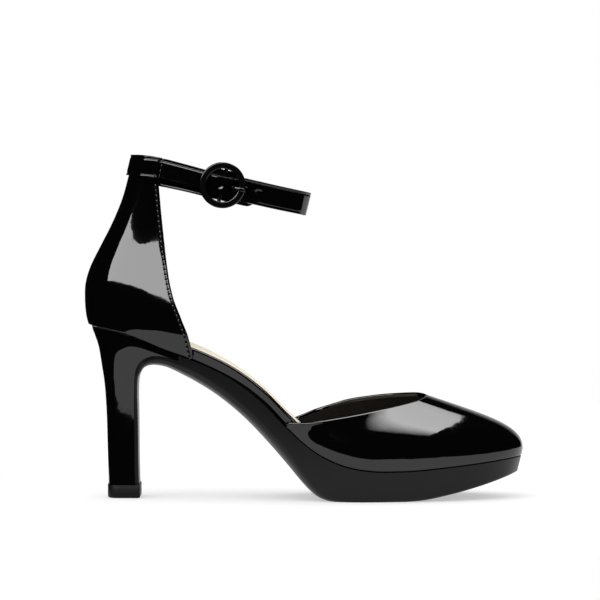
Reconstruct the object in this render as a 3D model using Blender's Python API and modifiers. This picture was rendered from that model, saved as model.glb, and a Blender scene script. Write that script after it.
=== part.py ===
"""Ankle-strap platform pump for the right foot: two open-waist uppers on a platform sole and a slim heel.

Sizes are millimetres, +X to the toe, -Y to the outer side of the foot, +Z up, floor at z = 0.
The tables are drawn for the sample last and graded to the driving sizes below.
"""
import math
from collections import namedtuple

import bmesh
import bpy
from mathutils import Vector

# Driving sizes of this shoe
LENGTH = 226.4
BALL_WIDTH = 79.2
SEAT_HEIGHT = 89.1

# The same sizes on the sample last that the tables are drawn for
SAMPLE_LENGTH = 226.4
SAMPLE_BALL_WIDTH = 79.2
SAMPLE_SEAT_HEIGHT = 89.1

MM = 0.001
GRADE = Vector((LENGTH / SAMPLE_LENGTH, BALL_WIDTH / SAMPLE_BALL_WIDTH, SEAT_HEIGHT / SAMPLE_SEAT_HEIGHT))
GAP = 0.3
WELD = 1e-6
ROD_SIDES = 12
SHARP_ANGLE = math.radians(40)
FIRST_END_STEP = 0.35
CIRCLE = 2.0

# Walls and thicknesses
VAMP_WALL = 1.8
COUNTER_WALL = 1.7
SOCK_THICKNESS = 0.7
SOCK_INSET = 0.9
SOCK_EDGE_ROUND = 0.5
STRAP_WIDTH = 10.4
FRONT_STRAP_WIDTH = 12.1
FRONT_STRAP_RISE = 0.28
WIDEN_BACK_X = -42.0
WIDEN_FRONT_X = -31.0
STRAP_THICKNESS = 1.8
BUCKLE_STRAP_THICKNESS = 1.6
SLEEVE_HEIGHT = 10.8
SLEEVE_WALL = 0.9
SLEEVE_DEPTH = 4.2
SLEEVE_ROUND = 0.9
SLEEVE_STEPS = 9
SLEEVE_ROUND_STEPS = 2

OUTER_SIDE = -1
INNER_SIDE = 1


def table(columns, *rows):
    """A short table whose rows are read by column name."""
    row_type = namedtuple("Row", columns)
    return [row_type(*row) for row in rows]


# Plan of the last at the feather line, between the round heel end and the round toe end
BACK_X = -111.2
HEEL_ROUND_X = -84.0
TOE_ROUND_X = 35.0
TOE_X = 112.9
HEEL_HALF = 23.4
TOE_HALF = 39.3
HEEL_ROUNDNESS = 2.2
TOE_ROUNDNESS = 2.0
PLAN = table(
    "x half_width",
    (HEEL_ROUND_X, HEEL_HALF),
    (-60, 23.4),
    (-35, 20.8),
    (-10, 27.2),
    (10, 35.0),
    (TOE_ROUND_X, TOE_HALF),
)
CENTRE_LINE = table(
    "x y",
    (BACK_X, 0.4),
    (HEEL_ROUND_X, 0.4),
    (-60, -0.2),
    (-35, -2.2),
    (-10, -2.0),
    (10, -1.2),
    (TOE_ROUND_X, -0.1),
    (60, 1.0),
    (90, 2.6),
    (TOE_X, 3.4),
)

# Side view: top of the sole, its underside, and the insole's thickness on it
PROFILE = table(
    "x feather",
    (BACK_X, 89.1),
    (-91.9, 84.9),
    (-71.6, 76.6),
    (-51.0, 68.8),
    (-35.7, 60.7),
    (-20.4, 48.9),
    (-8.2, 36.3),
    (5.2, 25.2),
    (18.7, 18.5),
    (33.2, 15.6),
    (49.7, 15.3),
    (77.0, 17.3),
    (TOE_X, 21.2),
)
FLAT_BACK_X = 16.0
FLAT_FRONT_X = 51.0
UNDERSIDE = table(
    "x z draft round_across round_up inset",
    (-64.0, 64.7, 0.0, 12.0, 4.5, 1.0),
    (-57.0, 60.9, 0.0, 13.0, 5.5, 1.6),
    (-45.8, 54.0, 0.0, 13.0, 6.0, 1.6),
    (-30.5, 41.5, 0.0, 13.0, 7.0, 1.6),
    (-18.3, 28.9, 0.0, 13.0, 8.0, 1.6),
    (-8.1, 17.4, 0.2, 12.0, 8.5, 1.4),
    (0.0, 8.2, 0.5, 9.0, 7.0, 1.1),
    (6.2, 2.8, 0.8, 6.0, 5.0, 0.8),
    (12.4, 0.4, 1.0, 4.0, 3.5, 0.6),
    (FLAT_BACK_X, 0.0, 1.2, 2.6, 2.4, 0.5),
    (FLAT_FRONT_X, 0.0, 1.4, 2.2, 2.0, 0.5),
    (60.0, 0.6, 1.5, 2.0, 1.8, 0.5),
    (74.0, 3.1, 1.6, 2.0, 1.6, 0.5),
    (92.0, 7.4, 1.8, 2.0, 1.4, 0.5),
    (TOE_X, 13.3, 2.2, 2.0, 1.2, 0.5),
)
SOLE_TOE_LEAN = 2.0
SOLE_TOE_LEAN_POWER = 4
SOLE_WAIST_X = -57.0
SOLE_WAIST_STEPS = 13
SOLE_BALL_STEPS = 4
SOLE_TOE_STEPS = 12
SOLE_TOE_CLEAR = 3.0
SOLE_ARC_STEPS = 4
# Largest draft and rounding of the sole's edge, as shares of its half-width and depth
DRAFT_LIMIT = 0.3
ROUND_ACROSS_LIMIT = 0.6
ROUND_UP_LIMIT = 0.9
INSOLE = table(
    "x thickness",
    (BACK_X, 4.0),
    (-80.0, 5.5),
    (-57.0, 6.0),
    (-35.0, 6.5),
    (-8.0, 7.9),
    (8.0, 6.2),
    (30.0, 3.4),
    (60.0, 2.6),
    (TOE_X, 2.6),
)
INSOLE_INSET = VAMP_WALL + 2 * GAP
INSOLE_EDGE_ROUND = 1.2
INSOLE_UNDERCUT = 1.9
PAD_HEEL_STEPS = 6
PAD_MIDDLE_STEPS = 15
PAD_TOE_STEPS = 8
PAD_ROUND_LIMIT = 0.4
PAD_CORNER = 0.3

# Breast of the heel, from the tip up to the lip under the waist, and the sole's flap that lies on it
BREAST = table(
    "front_x front_z flap_x flap_z flap_half round_across round_up",
    (-87.1, 7.4, -84.9, 7.4, 10.0, 0.5, 0.5),
    (-87.4, 20.0, -85.2, 20.0, 10.1, 0.5, 0.5),
    (-87.6, 40.0, -85.4, 40.0, 10.5, 0.5, 0.5),
    (-87.5, 54.0, -85.7, 54.0, 11.8, 0.5, 0.5),
    (-87.2, 62.0, -85.3, 61.5, 13.6, 0.6, 0.6),
    (-85.9, 67.6, -83.7, 65.4, 16.0, 1.5, 1.0),
    (-83.2, 71.4, -81.2, 67.9, 18.2, 5.0, 1.8),
    (-77.8, 73.8, -77.0, 68.8, 20.4, 8.0, 3.0),
    (-71.0, 73.4, -70.8, 67.7, 21.7, 11.0, 4.0),
    (-64.0, 71.6, -64.0, 64.7, 22.4, 12.0, 4.5),
)
# Back and sides of the heel at the same levels, then at the seat
HEEL_BACK = table(
    "x z half round_share squareness bow",
    (-101.0, 7.4, 11.2, 0.45, 3.2, 0.0),
    (-101.4, 21.0, 11.3, 0.46, 3.1, 0.0),
    (-101.9, 42.0, 12.1, 0.48, 3.0, 0.0),
    (-102.9, 58.0, 13.9, 0.50, 2.8, 0.0),
    (-104.4, 68.0, 16.2, 0.52, 2.6, 0.0),
    (-105.4, 74.5, 18.4, 0.54, 2.5, 0.02),
    (-106.4, 79.2, 20.3, 0.56, 2.4, 0.1),
    (-107.6, 82.4, 21.5, 0.58, 2.3, 0.22),
    (-108.6, 85.0, 22.3, 0.60, 2.25, 0.4),
    (-109.5, 86.4, 22.6, 0.60, 2.2, 0.6),
    (-108.6, None, 21.6, 0.60, 2.2, 1.0),
)
TIP_BACK_X = -101.3
TIP_FRONT_X = -84.4
TIP_HALF = 11.2
TIP_TOP = 7.1
TIP_EDGE = 0.7
HEEL_ROUND_STEPS = 9
HEEL_SIDE_STEPS = 5
TIP_SIDE_STEPS = 1

# Counter, from the feather line up to the sleeve: back edge, outer front edge, half-width and how far
# the front edge stands out beyond it
COUNTER = table(
    "level back_x back_z front_x front_z half round_share front_out",
    (0.00, BACK_X, 89.1, -56.3, 70.9, HEEL_HALF, 0.496, 0.0),
    (0.12, -112.7, 95.0, -58.9, 82.2, 26.7, 0.64, 1.0),
    (0.25, -113.2, 102.0, -62.6, 92.5, 27.5, 0.77, 1.3),
    (0.40, -112.8, 110.5, -66.8, 104.0, 26.4, 0.77, 0.8),
    (0.55, -110.0, 119.5, -69.3, 115.9, 23.9, 0.78, 0.1),
    (0.70, -104.6, 130.2, -71.0, 129.0, 21.0, 0.82, -0.2),
    (0.85, -97.7, 144.0, -72.8, 145.0, 18.8, 0.84, 0.0),
    (0.925, -93.5, 154.3, -73.7, 154.3, 18.1, 0.85, 0.0),
    (1.00, -90.5, 165.5, -74.5, 163.7, 17.4, 0.86, 0.0),
)
COUNTER_ROWS = 13
COUNTER_ROUND_STEPS = 9
COUNTER_SIDE_STEPS = 6
INNER_FRONT_CUT_BACK = 3.2
SEAT_FADE_POWER = 3
FRONT_OUT_POWER = 2

# Vamp topline, from the outer back tip round the throat to the inner back tip
TOPLINE = table(
    "share x y z",
    (0.00, -10.0, -30.2, 37.9),
    (0.05, -0.6, -33.8, 39.5),
    (0.125, 13.9, -34.4, 42.0),
    (0.22, 32.2, -29.0, 45.4),
    (0.33, 50.7, -20.3, 49.0),
    (0.42, 60.0, -9.8, 51.3),
    (0.50, 62.8, 0.6, 52.9),
    (0.57, 58.5, 9.5, 53.7),
    (0.65, 47.0, 19.0, 52.9),
    (0.76, 33.2, 25.0, 51.2),
    (0.86, 19.2, 28.6, 48.2),
    (0.94, 5.1, 30.2, 43.0),
    (1.00, -8.0, 25.7, 39.0),
)
SIDE_SHARE = 0.25
VAMP_SIDE_STEPS = 9
VAMP_TOE_STEPS = 26
VAMP_ROWS = 12
RIB_UP = 0.46
RIB_FLARE = 2.0
RIB_FLARE_SHARE = 0.046
RIB_FLARE_LIMIT = 0.12
RIB_TOP_IN = 0.63
RIB_TOP_UP = 0.35

# Strap plane: the straps stand on edge along this direction, which leans with the strap's slope
STRAP_UP = Vector((0.2366, 0.0, 0.9716))
STRAP_LINE = table(
    "x z",
    (-92.0, 171.8),
    (-75.0, 169.9),
    (-63.0, 166.9),
    (-51.0, 163.6),
    (-40.8, 160.8),
    (-19.7, 155.6),
    (3.0, 150.7),
)
MOUTH_X = -75.0
COLLAR_BACK_X = -88.4
COLLAR_HALF = 16.6
COLLAR_ROUNDNESS = 2.1
TAB_LENGTH = 8.0
TAB_WIDTH = 6.6
STRAP_ROUTE = table(
    "x y",
    (MOUTH_X, 16.6),
    (-68.0, 18.7),
    (-56.0, 22.4),
    (-41.5, 24.2),
    (-27.0, 22.0),
    (-12.0, 15.2),
    (-3.2, 8.6),
    (0.6, 3.6),
)
STRAP_FRONT_X = 1.5
BUCKLE_STRAP_BACK_X = -82.0
BUCKLE_STRAP_END_X = -22.6
BUCKLE_STRAP_ROUND = 4.5
BUCKLE_STRAP_STEPS = 18
BUCKLE_STRAP_END_STEPS = 4
ROUTE_STEP = 0.5
STRAP_STEPS = 5
BUCKLE_STRAP_SETTING = table(
    "x inward drop",
    (-92.0, 3.4, 3.9),
    (-74.0, 3.4, 3.9),
    (-60.0, 4.0, 3.2),
    (-41.5, 4.3, 2.7),
    (-20.0, 4.3, 2.3),
)

# Buckle, laid out from its centre on the outer run of the strap
BUCKLE_X = -41.5
BUCKLE_OUTER = 11.75
BUCKLE_INNER = 8.4
BUCKLE_BACK = 0.5 * STRAP_THICKNESS + GAP
BUCKLE_FRONT = BUCKLE_BACK + 2.4
BUCKLE_SIDES = 36
BUCKLE_BEVEL = 0.8
BAR_RADIUS = 1.0
BAR_END_SHARE = 0.7
BAR_OUT = -0.5 * STRAP_THICKNESS - GAP - BAR_RADIUS
LUG_RADIUS = 1.0
HOLE_RADIUS = 1.6
HOLE_SPACING = 10.0
SPARE_HOLES = (1, 2)
PRONG_RADIUS = 0.9
PRONG_REACH = 10.6
PRONG_RISE_SHARE = 0.4
PRONG_ROUND_STEPS = 2

PATENT = ("patent_black", (0.004, 0.004, 0.0045), 0.07, 0.0)
SOLE_RUBBER = ("sole_black", (0.018, 0.018, 0.018), 0.55, 0.0)
SOCK_TAN = ("sock_tan", (0.70, 0.60, 0.46), 0.6, 0.0)
BUCKLE_BLACK = ("buckle_black", (0.006, 0.006, 0.006), 0.18, 0.0)


def smooth(rows, key, value, flat_ends=False):
    """The smooth curve through two columns of a table, as a function of the first."""
    keys = [getattr(row, key) for row in rows]
    values = [getattr(row, value) for row in rows]
    rises = [(values[i + 1] - values[i]) / (keys[i + 1] - keys[i]) for i in range(len(keys) - 1)]
    slopes = [0.0 if flat_ends else rises[0]]
    for i in range(1, len(keys) - 1):
        before = keys[i] - keys[i - 1]
        after = keys[i + 1] - keys[i]
        slopes.append((rises[i - 1] * after + rises[i] * before) / (before + after))
    slopes.append(0.0 if flat_ends else rises[-1])

    def at(place):
        place = min(max(place, keys[0]), keys[-1])
        i = max(j for j in range(len(keys) - 1) if keys[j] <= place)
        step = keys[i + 1] - keys[i]
        t = (place - keys[i]) / step
        start = (1 + 2 * t) * (1 - t) ** 2 * values[i] + t * (1 - t) ** 2 * step * slopes[i]
        end = t * t * (3 - 2 * t) * values[i + 1] + t * t * (t - 1) * step * slopes[i + 1]
        return start + end

    return at


def mix(first, second, share):
    return first + (second - first) * share


feather = smooth(PROFILE, "x", "feather")
centre = smooth(CENTRE_LINE, "x", "y")
body_half = smooth(PLAN, "x", "half_width", flat_ends=True)
insole_thickness = smooth(INSOLE, "x", "thickness")
strap_line = smooth(STRAP_LINE, "x", "z")
strap_route = smooth(STRAP_ROUTE, "x", "y")


def underside(x):
    """Height of the sole's lowest line, exactly flat under the ball."""
    if FLAT_BACK_X <= x <= FLAT_FRONT_X:
        return 0.0
    return max(0.0, smooth(UNDERSIDE, "x", "z")(x))


def round_end(share, roundness):
    """Width share of a superellipse end, 0 at its tip and 1 where it joins the straight side."""
    return max(0.0, 1.0 - (1.0 - share) ** roundness) ** (1.0 / roundness)


def half_width(x):
    """Half the last's width at the feather line."""
    if x < HEEL_ROUND_X:
        return HEEL_HALF * round_end((x - BACK_X) / (HEEL_ROUND_X - BACK_X), HEEL_ROUNDNESS)
    if x > TOE_ROUND_X:
        return TOE_HALF * round_end((TOE_X - x) / (TOE_X - TOE_ROUND_X), TOE_ROUNDNESS)
    return body_half(x)


def inset_half(x, inset):
    """Half-width of the plan drawn in by an even inset, for x on the drawn-in length."""
    whole = mix(BACK_X, TOE_X, (x - BACK_X - inset) / (TOE_X - BACK_X - 2 * inset))
    local = body_half(min(max(whole, HEEL_ROUND_X), TOE_ROUND_X))
    return half_width(whole) * (1 - inset / local)


def end_steps(tip, joint, count):
    """Stations from a round end's tip towards its joint, close together at the tip."""
    return [mix(tip, joint, 1 - math.cos(0.5 * math.pi * (i + FIRST_END_STEP) / count)) for i in range(count)]


def even_steps(first, last, count):
    return [mix(first, last, i / (count - 1)) for i in range(count)]


def place(point):
    """A sample-last point in millimetres as a graded point in metres."""
    return Vector((point[0] * GRADE.x, point[1] * GRADE.y, point[2] * GRADE.z)) * MM


def finish(name, mesh_builder, finish_of):
    """Turn a bmesh into a smooth-shaded, coloured object of the shoe."""
    mesh = bpy.data.meshes.new(name)
    mesh_builder.to_mesh(mesh)
    mesh_builder.free()
    mesh.shade_smooth()
    mesh.set_sharp_from_angle(angle=SHARP_ANGLE)
    piece = bpy.data.objects.new(name, mesh)
    shoe.objects.link(piece)
    piece.data.materials.append(material(*finish_of))
    return piece


def material(name, colour, roughness, metallic):
    if name in bpy.data.materials:
        return bpy.data.materials[name]
    made = bpy.data.materials.new(name)
    made.use_nodes = True
    shader = made.node_tree.nodes["Principled BSDF"]
    shader.inputs["Base Color"].default_value = (*colour, 1.0)
    shader.inputs["Roughness"].default_value = roughness
    shader.inputs["Metallic"].default_value = metallic
    return made


def join_rings(builder, rings, closed):
    """Quads between neighbouring rings of points; returns the rings' vertices."""
    vertices = [[builder.verts.new(place(point)) for point in ring] for ring in rings]
    count = len(rings[0])
    for first, second in zip(vertices, vertices[1:]):
        for i in range(count if closed else count - 1):
            j = (i + 1) % count
            builder.faces.new((first[i], first[j], second[j], second[i]))
    return vertices


def loft(name, rings, finish_of):
    """A closed solid through rings of points, with flat ends."""
    builder = bmesh.new()
    vertices = join_rings(builder, rings, closed=True)
    builder.faces.new(vertices[0])
    builder.faces.new(vertices[-1])
    bmesh.ops.recalc_face_normals(builder, faces=builder.faces)
    return finish(name, builder, finish_of)


def shell(name, rows, wall, finish_of, closed=False):
    """A wall of even thickness inside an open surface through rows of points."""
    builder = bmesh.new()
    join_rings(builder, rows, closed)
    piece = finish(name, builder, finish_of)
    solid = piece.modifiers.new("wall", "SOLIDIFY")
    solid.thickness = wall * MM
    solid.offset = -1.0
    solid.use_even_offset = True
    solid.use_quality_normals = True
    return piece


def arc_steps(count):
    return [0.5 * math.pi * i / count for i in range(count + 1)]


def sole_section(top, bottom, middle, half, draft, round_across, round_up):
    """One ring of the sole between its top and bottom points in the side view."""
    depth = math.hypot(top[0] - bottom[0], top[1] - bottom[1])
    low_half = half - draft
    across = min(round_across, ROUND_ACROSS_LIMIT * low_half)
    rise = min(round_up, ROUND_UP_LIMIT * depth)
    ring = []
    for side in (OUTER_SIDE, INNER_SIDE):
        edge = [(half, 0.0)]
        for angle in arc_steps(SOLE_ARC_STEPS):
            edge.append((low_half - across * (1 - math.cos(angle)), depth - rise * (1 - math.sin(angle))))
        if side == INNER_SIDE:
            edge.reverse()
        for out, down in edge:
            share = down / depth
            ring.append((mix(top[0], bottom[0], share), middle + side * out, mix(top[1], bottom[1], share)))
    return ring


def build_sole():
    rings = []
    for row in BREAST[:-1]:
        rings.append(
            sole_section(
                (row.front_x, row.front_z), (row.flap_x, row.flap_z), centre(row.front_x),
                row.flap_half, 0.0, row.round_across, row.round_up,
            )
        )
    shape = {name: smooth(UNDERSIDE, "x", name) for name in ("draft", "round_across", "round_up", "inset")}
    lip = BREAST[-1]
    waist = [lip.front_x] + even_steps(SOLE_WAIST_X, FLAT_BACK_X, SOLE_WAIST_STEPS)
    ball = even_steps(FLAT_BACK_X, TOE_ROUND_X, SOLE_BALL_STEPS)[1:] + [FLAT_FRONT_X]
    tip = TOE_X - UNDERSIDE[-1].inset
    toe = reversed(end_steps(tip, TOE_ROUND_X, SOLE_TOE_STEPS))
    toe = [x for x in toe if x > FLAT_FRONT_X + SOLE_TOE_CLEAR]
    for x in waist + ball + toe:
        half = inset_half(x, shape["inset"](x))
        toe_share = max(0.0, (x - TOE_ROUND_X) / (TOE_X - TOE_ROUND_X))
        lean = SOLE_TOE_LEAN * toe_share ** SOLE_TOE_LEAN_POWER
        top_z = lip.front_z if x == lip.front_x else feather(x)
        rings.append(
            sole_section(
                (x, top_z), (x - lean, underside(x)), centre(x), half,
                min(shape["draft"](x), DRAFT_LIMIT * half), shape["round_across"](x), shape["round_up"](x),
            )
        )
    return loft("sole", rings, SOLE_RUBBER)


def build_pad(name, inset, lower, upper, edge_round, undercut, finish_of):
    """A pad along the whole inside of the shoe, between two heights, narrower below by the undercut."""
    back = BACK_X + inset
    front = TOE_X - inset
    heel = end_steps(back, HEEL_ROUND_X, PAD_HEEL_STEPS)
    middle = even_steps(HEEL_ROUND_X, TOE_ROUND_X, PAD_MIDDLE_STEPS)
    toe = list(reversed(end_steps(front, TOE_ROUND_X, PAD_TOE_STEPS)))
    rings = []
    for x in heel + middle + toe:
        half = inset_half(x, inset)
        soft = min(edge_round, PAD_ROUND_LIMIT * half)
        corner = PAD_CORNER * soft
        low_half = half - min(undercut, PAD_ROUND_LIMIT * half)
        ring = []
        for out, z in (
            (-low_half, lower(x)),
            (low_half, lower(x)),
            (half, upper(x) - soft),
            (half - corner, upper(x) - corner),
            (half - soft, upper(x)),
            (-half + soft, upper(x)),
            (-half + corner, upper(x) - corner),
            (-half, upper(x) - soft),
        ):
            ring.append((x, centre(x) + out, z))
        rings.append(ring)
    return loft(name, rings, finish_of)


def insole_bottom(x):
    return feather(x) + GAP


def insole_top(x):
    return insole_bottom(x) + insole_thickness(x)


def build_insole():
    build_pad(
        "insole_board", INSOLE_INSET, insole_bottom, insole_top,
        INSOLE_EDGE_ROUND, INSOLE_UNDERCUT, PATENT,
    )
    build_pad(
        "sock", INSOLE_INSET + SOCK_INSET,
        lambda x: insole_top(x) + GAP,
        lambda x: insole_top(x) + GAP + SOCK_THICKNESS,
        SOCK_EDGE_ROUND, 0.0, SOCK_TAN,
    )


def u_shares(round_share, round_steps, side_steps):
    """Shares of the depth along one side of a U, from its front end to its back."""
    side = [mix(1.0, round_share, i / side_steps) for i in range(side_steps)]
    back = [round_share * (1 - math.sin(0.5 * math.pi * i / round_steps)) for i in range(round_steps + 1)]
    return side + back


def u_ring(round_share, round_steps, side_steps):
    """Side and depth share of each point round a U, from the inner front end to the outer one."""
    shares = u_shares(round_share, round_steps, side_steps)
    inner = [(INNER_SIDE, share) for share in shares[:-1]]
    return inner + [(OUTER_SIDE, share) for share in reversed(shares)]


def heel_front(level):
    """Front end of a heel ring: just behind the flap, or on the seat for the topmost ring."""
    if level == len(BREAST):
        return BREAST[-1].front_x, feather(BREAST[-1].front_x)
    row = BREAST[level]
    depth = math.hypot(row.front_x - row.flap_x, row.front_z - row.flap_z)
    back_off = GAP / depth
    return mix(row.front_x, row.flap_x, -back_off), mix(row.front_z, row.flap_z, -back_off)


def build_heel():
    rings = []
    for level, row in enumerate(HEEL_BACK):
        front_x, front_z = heel_front(level)
        back_z = feather(row.x) if row.z is None else row.z
        ring = []
        for side, share in u_ring(row.round_share, HEEL_ROUND_STEPS, HEEL_SIDE_STEPS):
            x = mix(row.x, front_x, share)
            chord = mix(feather(row.x), feather(front_x), share)
            z = mix(back_z, front_z, share) + row.bow * (feather(x) - chord)
            wide = row.half * round_end(min(1.0, share / row.round_share), row.squareness)
            narrowing = 1.0 - row.bow * (1.0 - half_width(max(x, HEEL_ROUND_X)) / HEEL_HALF)
            ring.append((x, centre(x) + side * wide * narrowing, z))
        rings.append(ring)
    builder = bmesh.new()
    vertices = join_rings(builder, rings, closed=True)
    builder.faces.new(vertices[0])
    seat = vertices[-1]
    for i in range(len(seat) // 2 - 1):
        builder.faces.new((seat[i], seat[i + 1], seat[-2 - i], seat[-1 - i]))
    middle = len(seat) // 2
    builder.faces.new(seat[middle - 1:middle + 2])
    bmesh.ops.recalc_face_normals(builder, faces=builder.faces)
    finish("heel", builder, PATENT)


def build_heel_tip():
    shape = HEEL_BACK[0]
    rings = []
    for z, shrink in ((0.0, TIP_EDGE), (TIP_EDGE, 0.0), (TIP_TOP, 0.0)):
        ring = []
        for side, share in u_ring(shape.round_share, HEEL_ROUND_STEPS, TIP_SIDE_STEPS):
            x = mix(TIP_BACK_X + shrink, TIP_FRONT_X - shrink, share)
            wide = round_end(min(1.0, share / shape.round_share), shape.squareness)
            ring.append((x, centre(x) + side * (TIP_HALF - shrink) * wide, z))
        rings.append(ring)
    loft("heel_tip", rings, SOLE_RUBBER)


def build_counter():
    columns = {name: smooth(COUNTER, "level", name) for name in COUNTER[0]._fields[1:]}
    rows = []
    for level in even_steps(0.0, 1.0, COUNTER_ROWS):
        at = {name: curve(level) for name, curve in columns.items()}
        seat = (1 - level) ** SEAT_FADE_POWER
        row = []
        for side, share in u_ring(at["round_share"], COUNTER_ROUND_STEPS, COUNTER_SIDE_STEPS):
            front_x = at["front_x"] - (INNER_FRONT_CUT_BACK if side == INNER_SIDE else 0.0)
            x = mix(at["back_x"], front_x, share)
            chord = mix(feather(at["back_x"]), feather(front_x), share)
            z = mix(at["back_z"], at["front_z"], share) + seat * (feather(x) - chord)
            if level == 0.0:
                z = feather(x)
            wide = at["half"] * round_end(min(1.0, share / at["round_share"]), HEEL_ROUNDNESS)
            wide += at["front_out"] * share ** FRONT_OUT_POWER
            narrowing = 1.0 - seat * (1.0 - half_width(max(x, HEEL_ROUND_X)) / HEEL_HALF)
            row.append((x, centre(x) * (1 - level) + side * wide * narrowing, z + GAP))
        rows.append(row)
    shell("counter", rows, COUNTER_WALL, PATENT)


def vamp_foot(share):
    """Point of the vamp's lower edge, from the outer back tip round the toe to the inner back tip."""
    if share < SIDE_SHARE:
        x = mix(TOPLINE[0].x, TOE_ROUND_X, share / SIDE_SHARE)
        return Vector((x, centre(x) - half_width(x), feather(x) + GAP))
    if share > 1 - SIDE_SHARE:
        x = mix(TOPLINE[-1].x, TOE_ROUND_X, (1 - share) / SIDE_SHARE)
        return Vector((x, centre(x) + half_width(x), feather(x) + GAP))
    angle = 0.5 * math.pi * (share - 0.5) / (0.5 - SIDE_SHARE)
    power = 2 / TOE_ROUNDNESS
    x = mix(TOE_ROUND_X, TOE_X, max(0.0, math.cos(angle)) ** power)
    out = TOE_HALF * math.copysign(abs(math.sin(angle)) ** power, angle)
    return Vector((x, centre(x) + out, feather(x) + GAP))


def vamp_rib(share, rows):
    """Points of one rib, from the feather line up and over to the topline."""
    foot = vamp_foot(share)
    top = Vector([smooth(TOPLINE, "share", axis)(share) for axis in "xyz"])
    reach = Vector((top.x - foot.x, top.y - foot.y, 0.0))
    inward = reach.normalized()
    if reach.dot(Vector((TOE_ROUND_X - foot.x, -foot.y, 0.0))) < 0:
        inward = -inward
    up = Vector((0.0, 0.0, top.z - foot.z))
    flare = min(RIB_FLARE + RIB_FLARE_SHARE * reach.length, RIB_FLARE_LIMIT * up.z)
    low = foot + up * RIB_UP - inward * flare
    high = top - reach * RIB_TOP_IN - up * RIB_TOP_UP
    points = []
    for t in even_steps(0.0, 1.0, rows):
        points.append(
            foot * (1 - t) ** 3 + low * 3 * t * (1 - t) ** 2 + high * 3 * t * t * (1 - t) + top * t ** 3
        )
    return points


def build_vamp():
    outer = even_steps(0.0, SIDE_SHARE, VAMP_SIDE_STEPS)[:-1]
    toe = even_steps(SIDE_SHARE, 1 - SIDE_SHARE, VAMP_TOE_STEPS)
    inner = even_steps(1 - SIDE_SHARE, 1.0, VAMP_SIDE_STEPS)[1:]
    ribs = [vamp_rib(share, VAMP_ROWS) for share in outer + toe + inner]
    shell("vamp", list(zip(*ribs)), VAMP_WALL, PATENT)


def collar_half(x):
    """Half-width of the sleeve's middle line, which rounds the back of the ankle."""
    share = min(1.0, (x - COLLAR_BACK_X) / (MOUTH_X - COLLAR_BACK_X))
    return COLLAR_HALF * round_end(share, COLLAR_ROUNDNESS)


def through(points, steps):
    """Points along a smooth curve through a few plan points."""
    result = []
    for i in range(len(points) - 1):
        before = points[max(i - 1, 0)]
        after = points[min(i + 2, len(points) - 1)]
        for step in range(steps):
            t = step / steps
            result.append(
                0.5 * (
                    2 * points[i]
                    + (points[i + 1] - before) * t
                    + (2 * before - 5 * points[i] + 4 * points[i + 1] - after) * t * t
                    + (3 * points[i] - before - 3 * points[i + 1] + after) * t ** 3
                )
            )
    result.append(points[-1])
    return result


def strap_side(side):
    """One side of the ankle strap's route, from its tab inside the sleeve to the front bend."""
    tab = [MOUTH_X - TAB_LENGTH, MOUTH_X - 0.5 * TAB_LENGTH]
    plan = [Vector((x, side * collar_half(x))) for x in tab]
    plan += [Vector((row.x, side * row.y)) for row in STRAP_ROUTE]
    return plan


def band(name, route, widths, drops, thickness, finish_of):
    """A strap of given widths along a plan route, standing on edge and centred on it."""
    rows = [[], []]
    for point, width, drop in zip(route, widths, drops):
        middle = Vector((point.x, point.y, strap_line(point.x) - drop))
        rows[0].append(middle - STRAP_UP * 0.5 * width)
        rows[1].append(middle + STRAP_UP * 0.5 * width)
    piece = shell(name, rows, thickness, finish_of)
    piece.modifiers["wall"].offset = 0.0
    return piece


def cut(piece, tool, operation):
    """Cut a hidden tool out of a piece, or join it on."""
    cutters.objects.link(tool)
    tool.hide_render = True
    tool.display_type = "WIRE"
    boolean = piece.modifiers.new(tool.name, "BOOLEAN")
    boolean.operation = operation
    boolean.object = tool


def rod(name, first, second, radius):
    """A closed round bar between two points."""
    start = place(first)
    end = place(second)
    along = end - start
    turn = along.to_track_quat("Z", "Y").to_matrix().to_4x4()
    turn.translation = (start + end) * 0.5
    builder = bmesh.new()
    bmesh.ops.create_cone(
        builder, cap_ends=True, segments=ROD_SIDES, radius1=radius * MM, radius2=radius * MM,
        depth=along.length, matrix=turn,
    )
    mesh = bpy.data.meshes.new(name)
    builder.to_mesh(mesh)
    builder.free()
    return bpy.data.objects.new(name, mesh)


def buckle_axes():
    """Centre of the buckle on the strap, and its directions along the strap and out of it."""
    middle = Vector((BUCKLE_X, -strap_route(BUCKLE_X), strap_line(BUCKLE_X)))
    out = Vector((0.0, -1.0, 0.0))
    return middle, STRAP_UP.cross(out), out


def build_ankle_strap():
    outer = strap_side(OUTER_SIDE)
    inner = strap_side(INNER_SIDE)
    route = through(outer + [Vector((STRAP_FRONT_X, 0.0))] + inner[::-1], STRAP_STEPS)
    widths = []
    drops = []
    for point in route:
        wider = min(max((point.x - WIDEN_BACK_X) / (WIDEN_FRONT_X - WIDEN_BACK_X), 0.0), 1.0)
        full = mix(STRAP_WIDTH, FRONT_STRAP_WIDTH, wider)
        widths.append(TAB_WIDTH if point.x < MOUTH_X + GAP else full)
        drops.append(-FRONT_STRAP_RISE * wider)
    strap = band("ankle_strap", route, widths, drops, STRAP_THICKNESS, PATENT)
    middle, along, out = buckle_axes()
    for hole in (0,) + SPARE_HOLES:
        spot = middle + along * HOLE_SPACING * hole
        spot.y = -strap_route(spot.x)
        reach = out * 2 * STRAP_THICKNESS
        cut(strap, rod(f"strap_hole_{hole}", spot - reach, spot + reach, HOLE_RADIUS), "DIFFERENCE")


def outer_strap_point(x):
    """Plan point of the strap's middle line on the outer side, inside the sleeve too."""
    return Vector((x, -collar_half(x) if x < MOUTH_X else -strap_route(x)))


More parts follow.
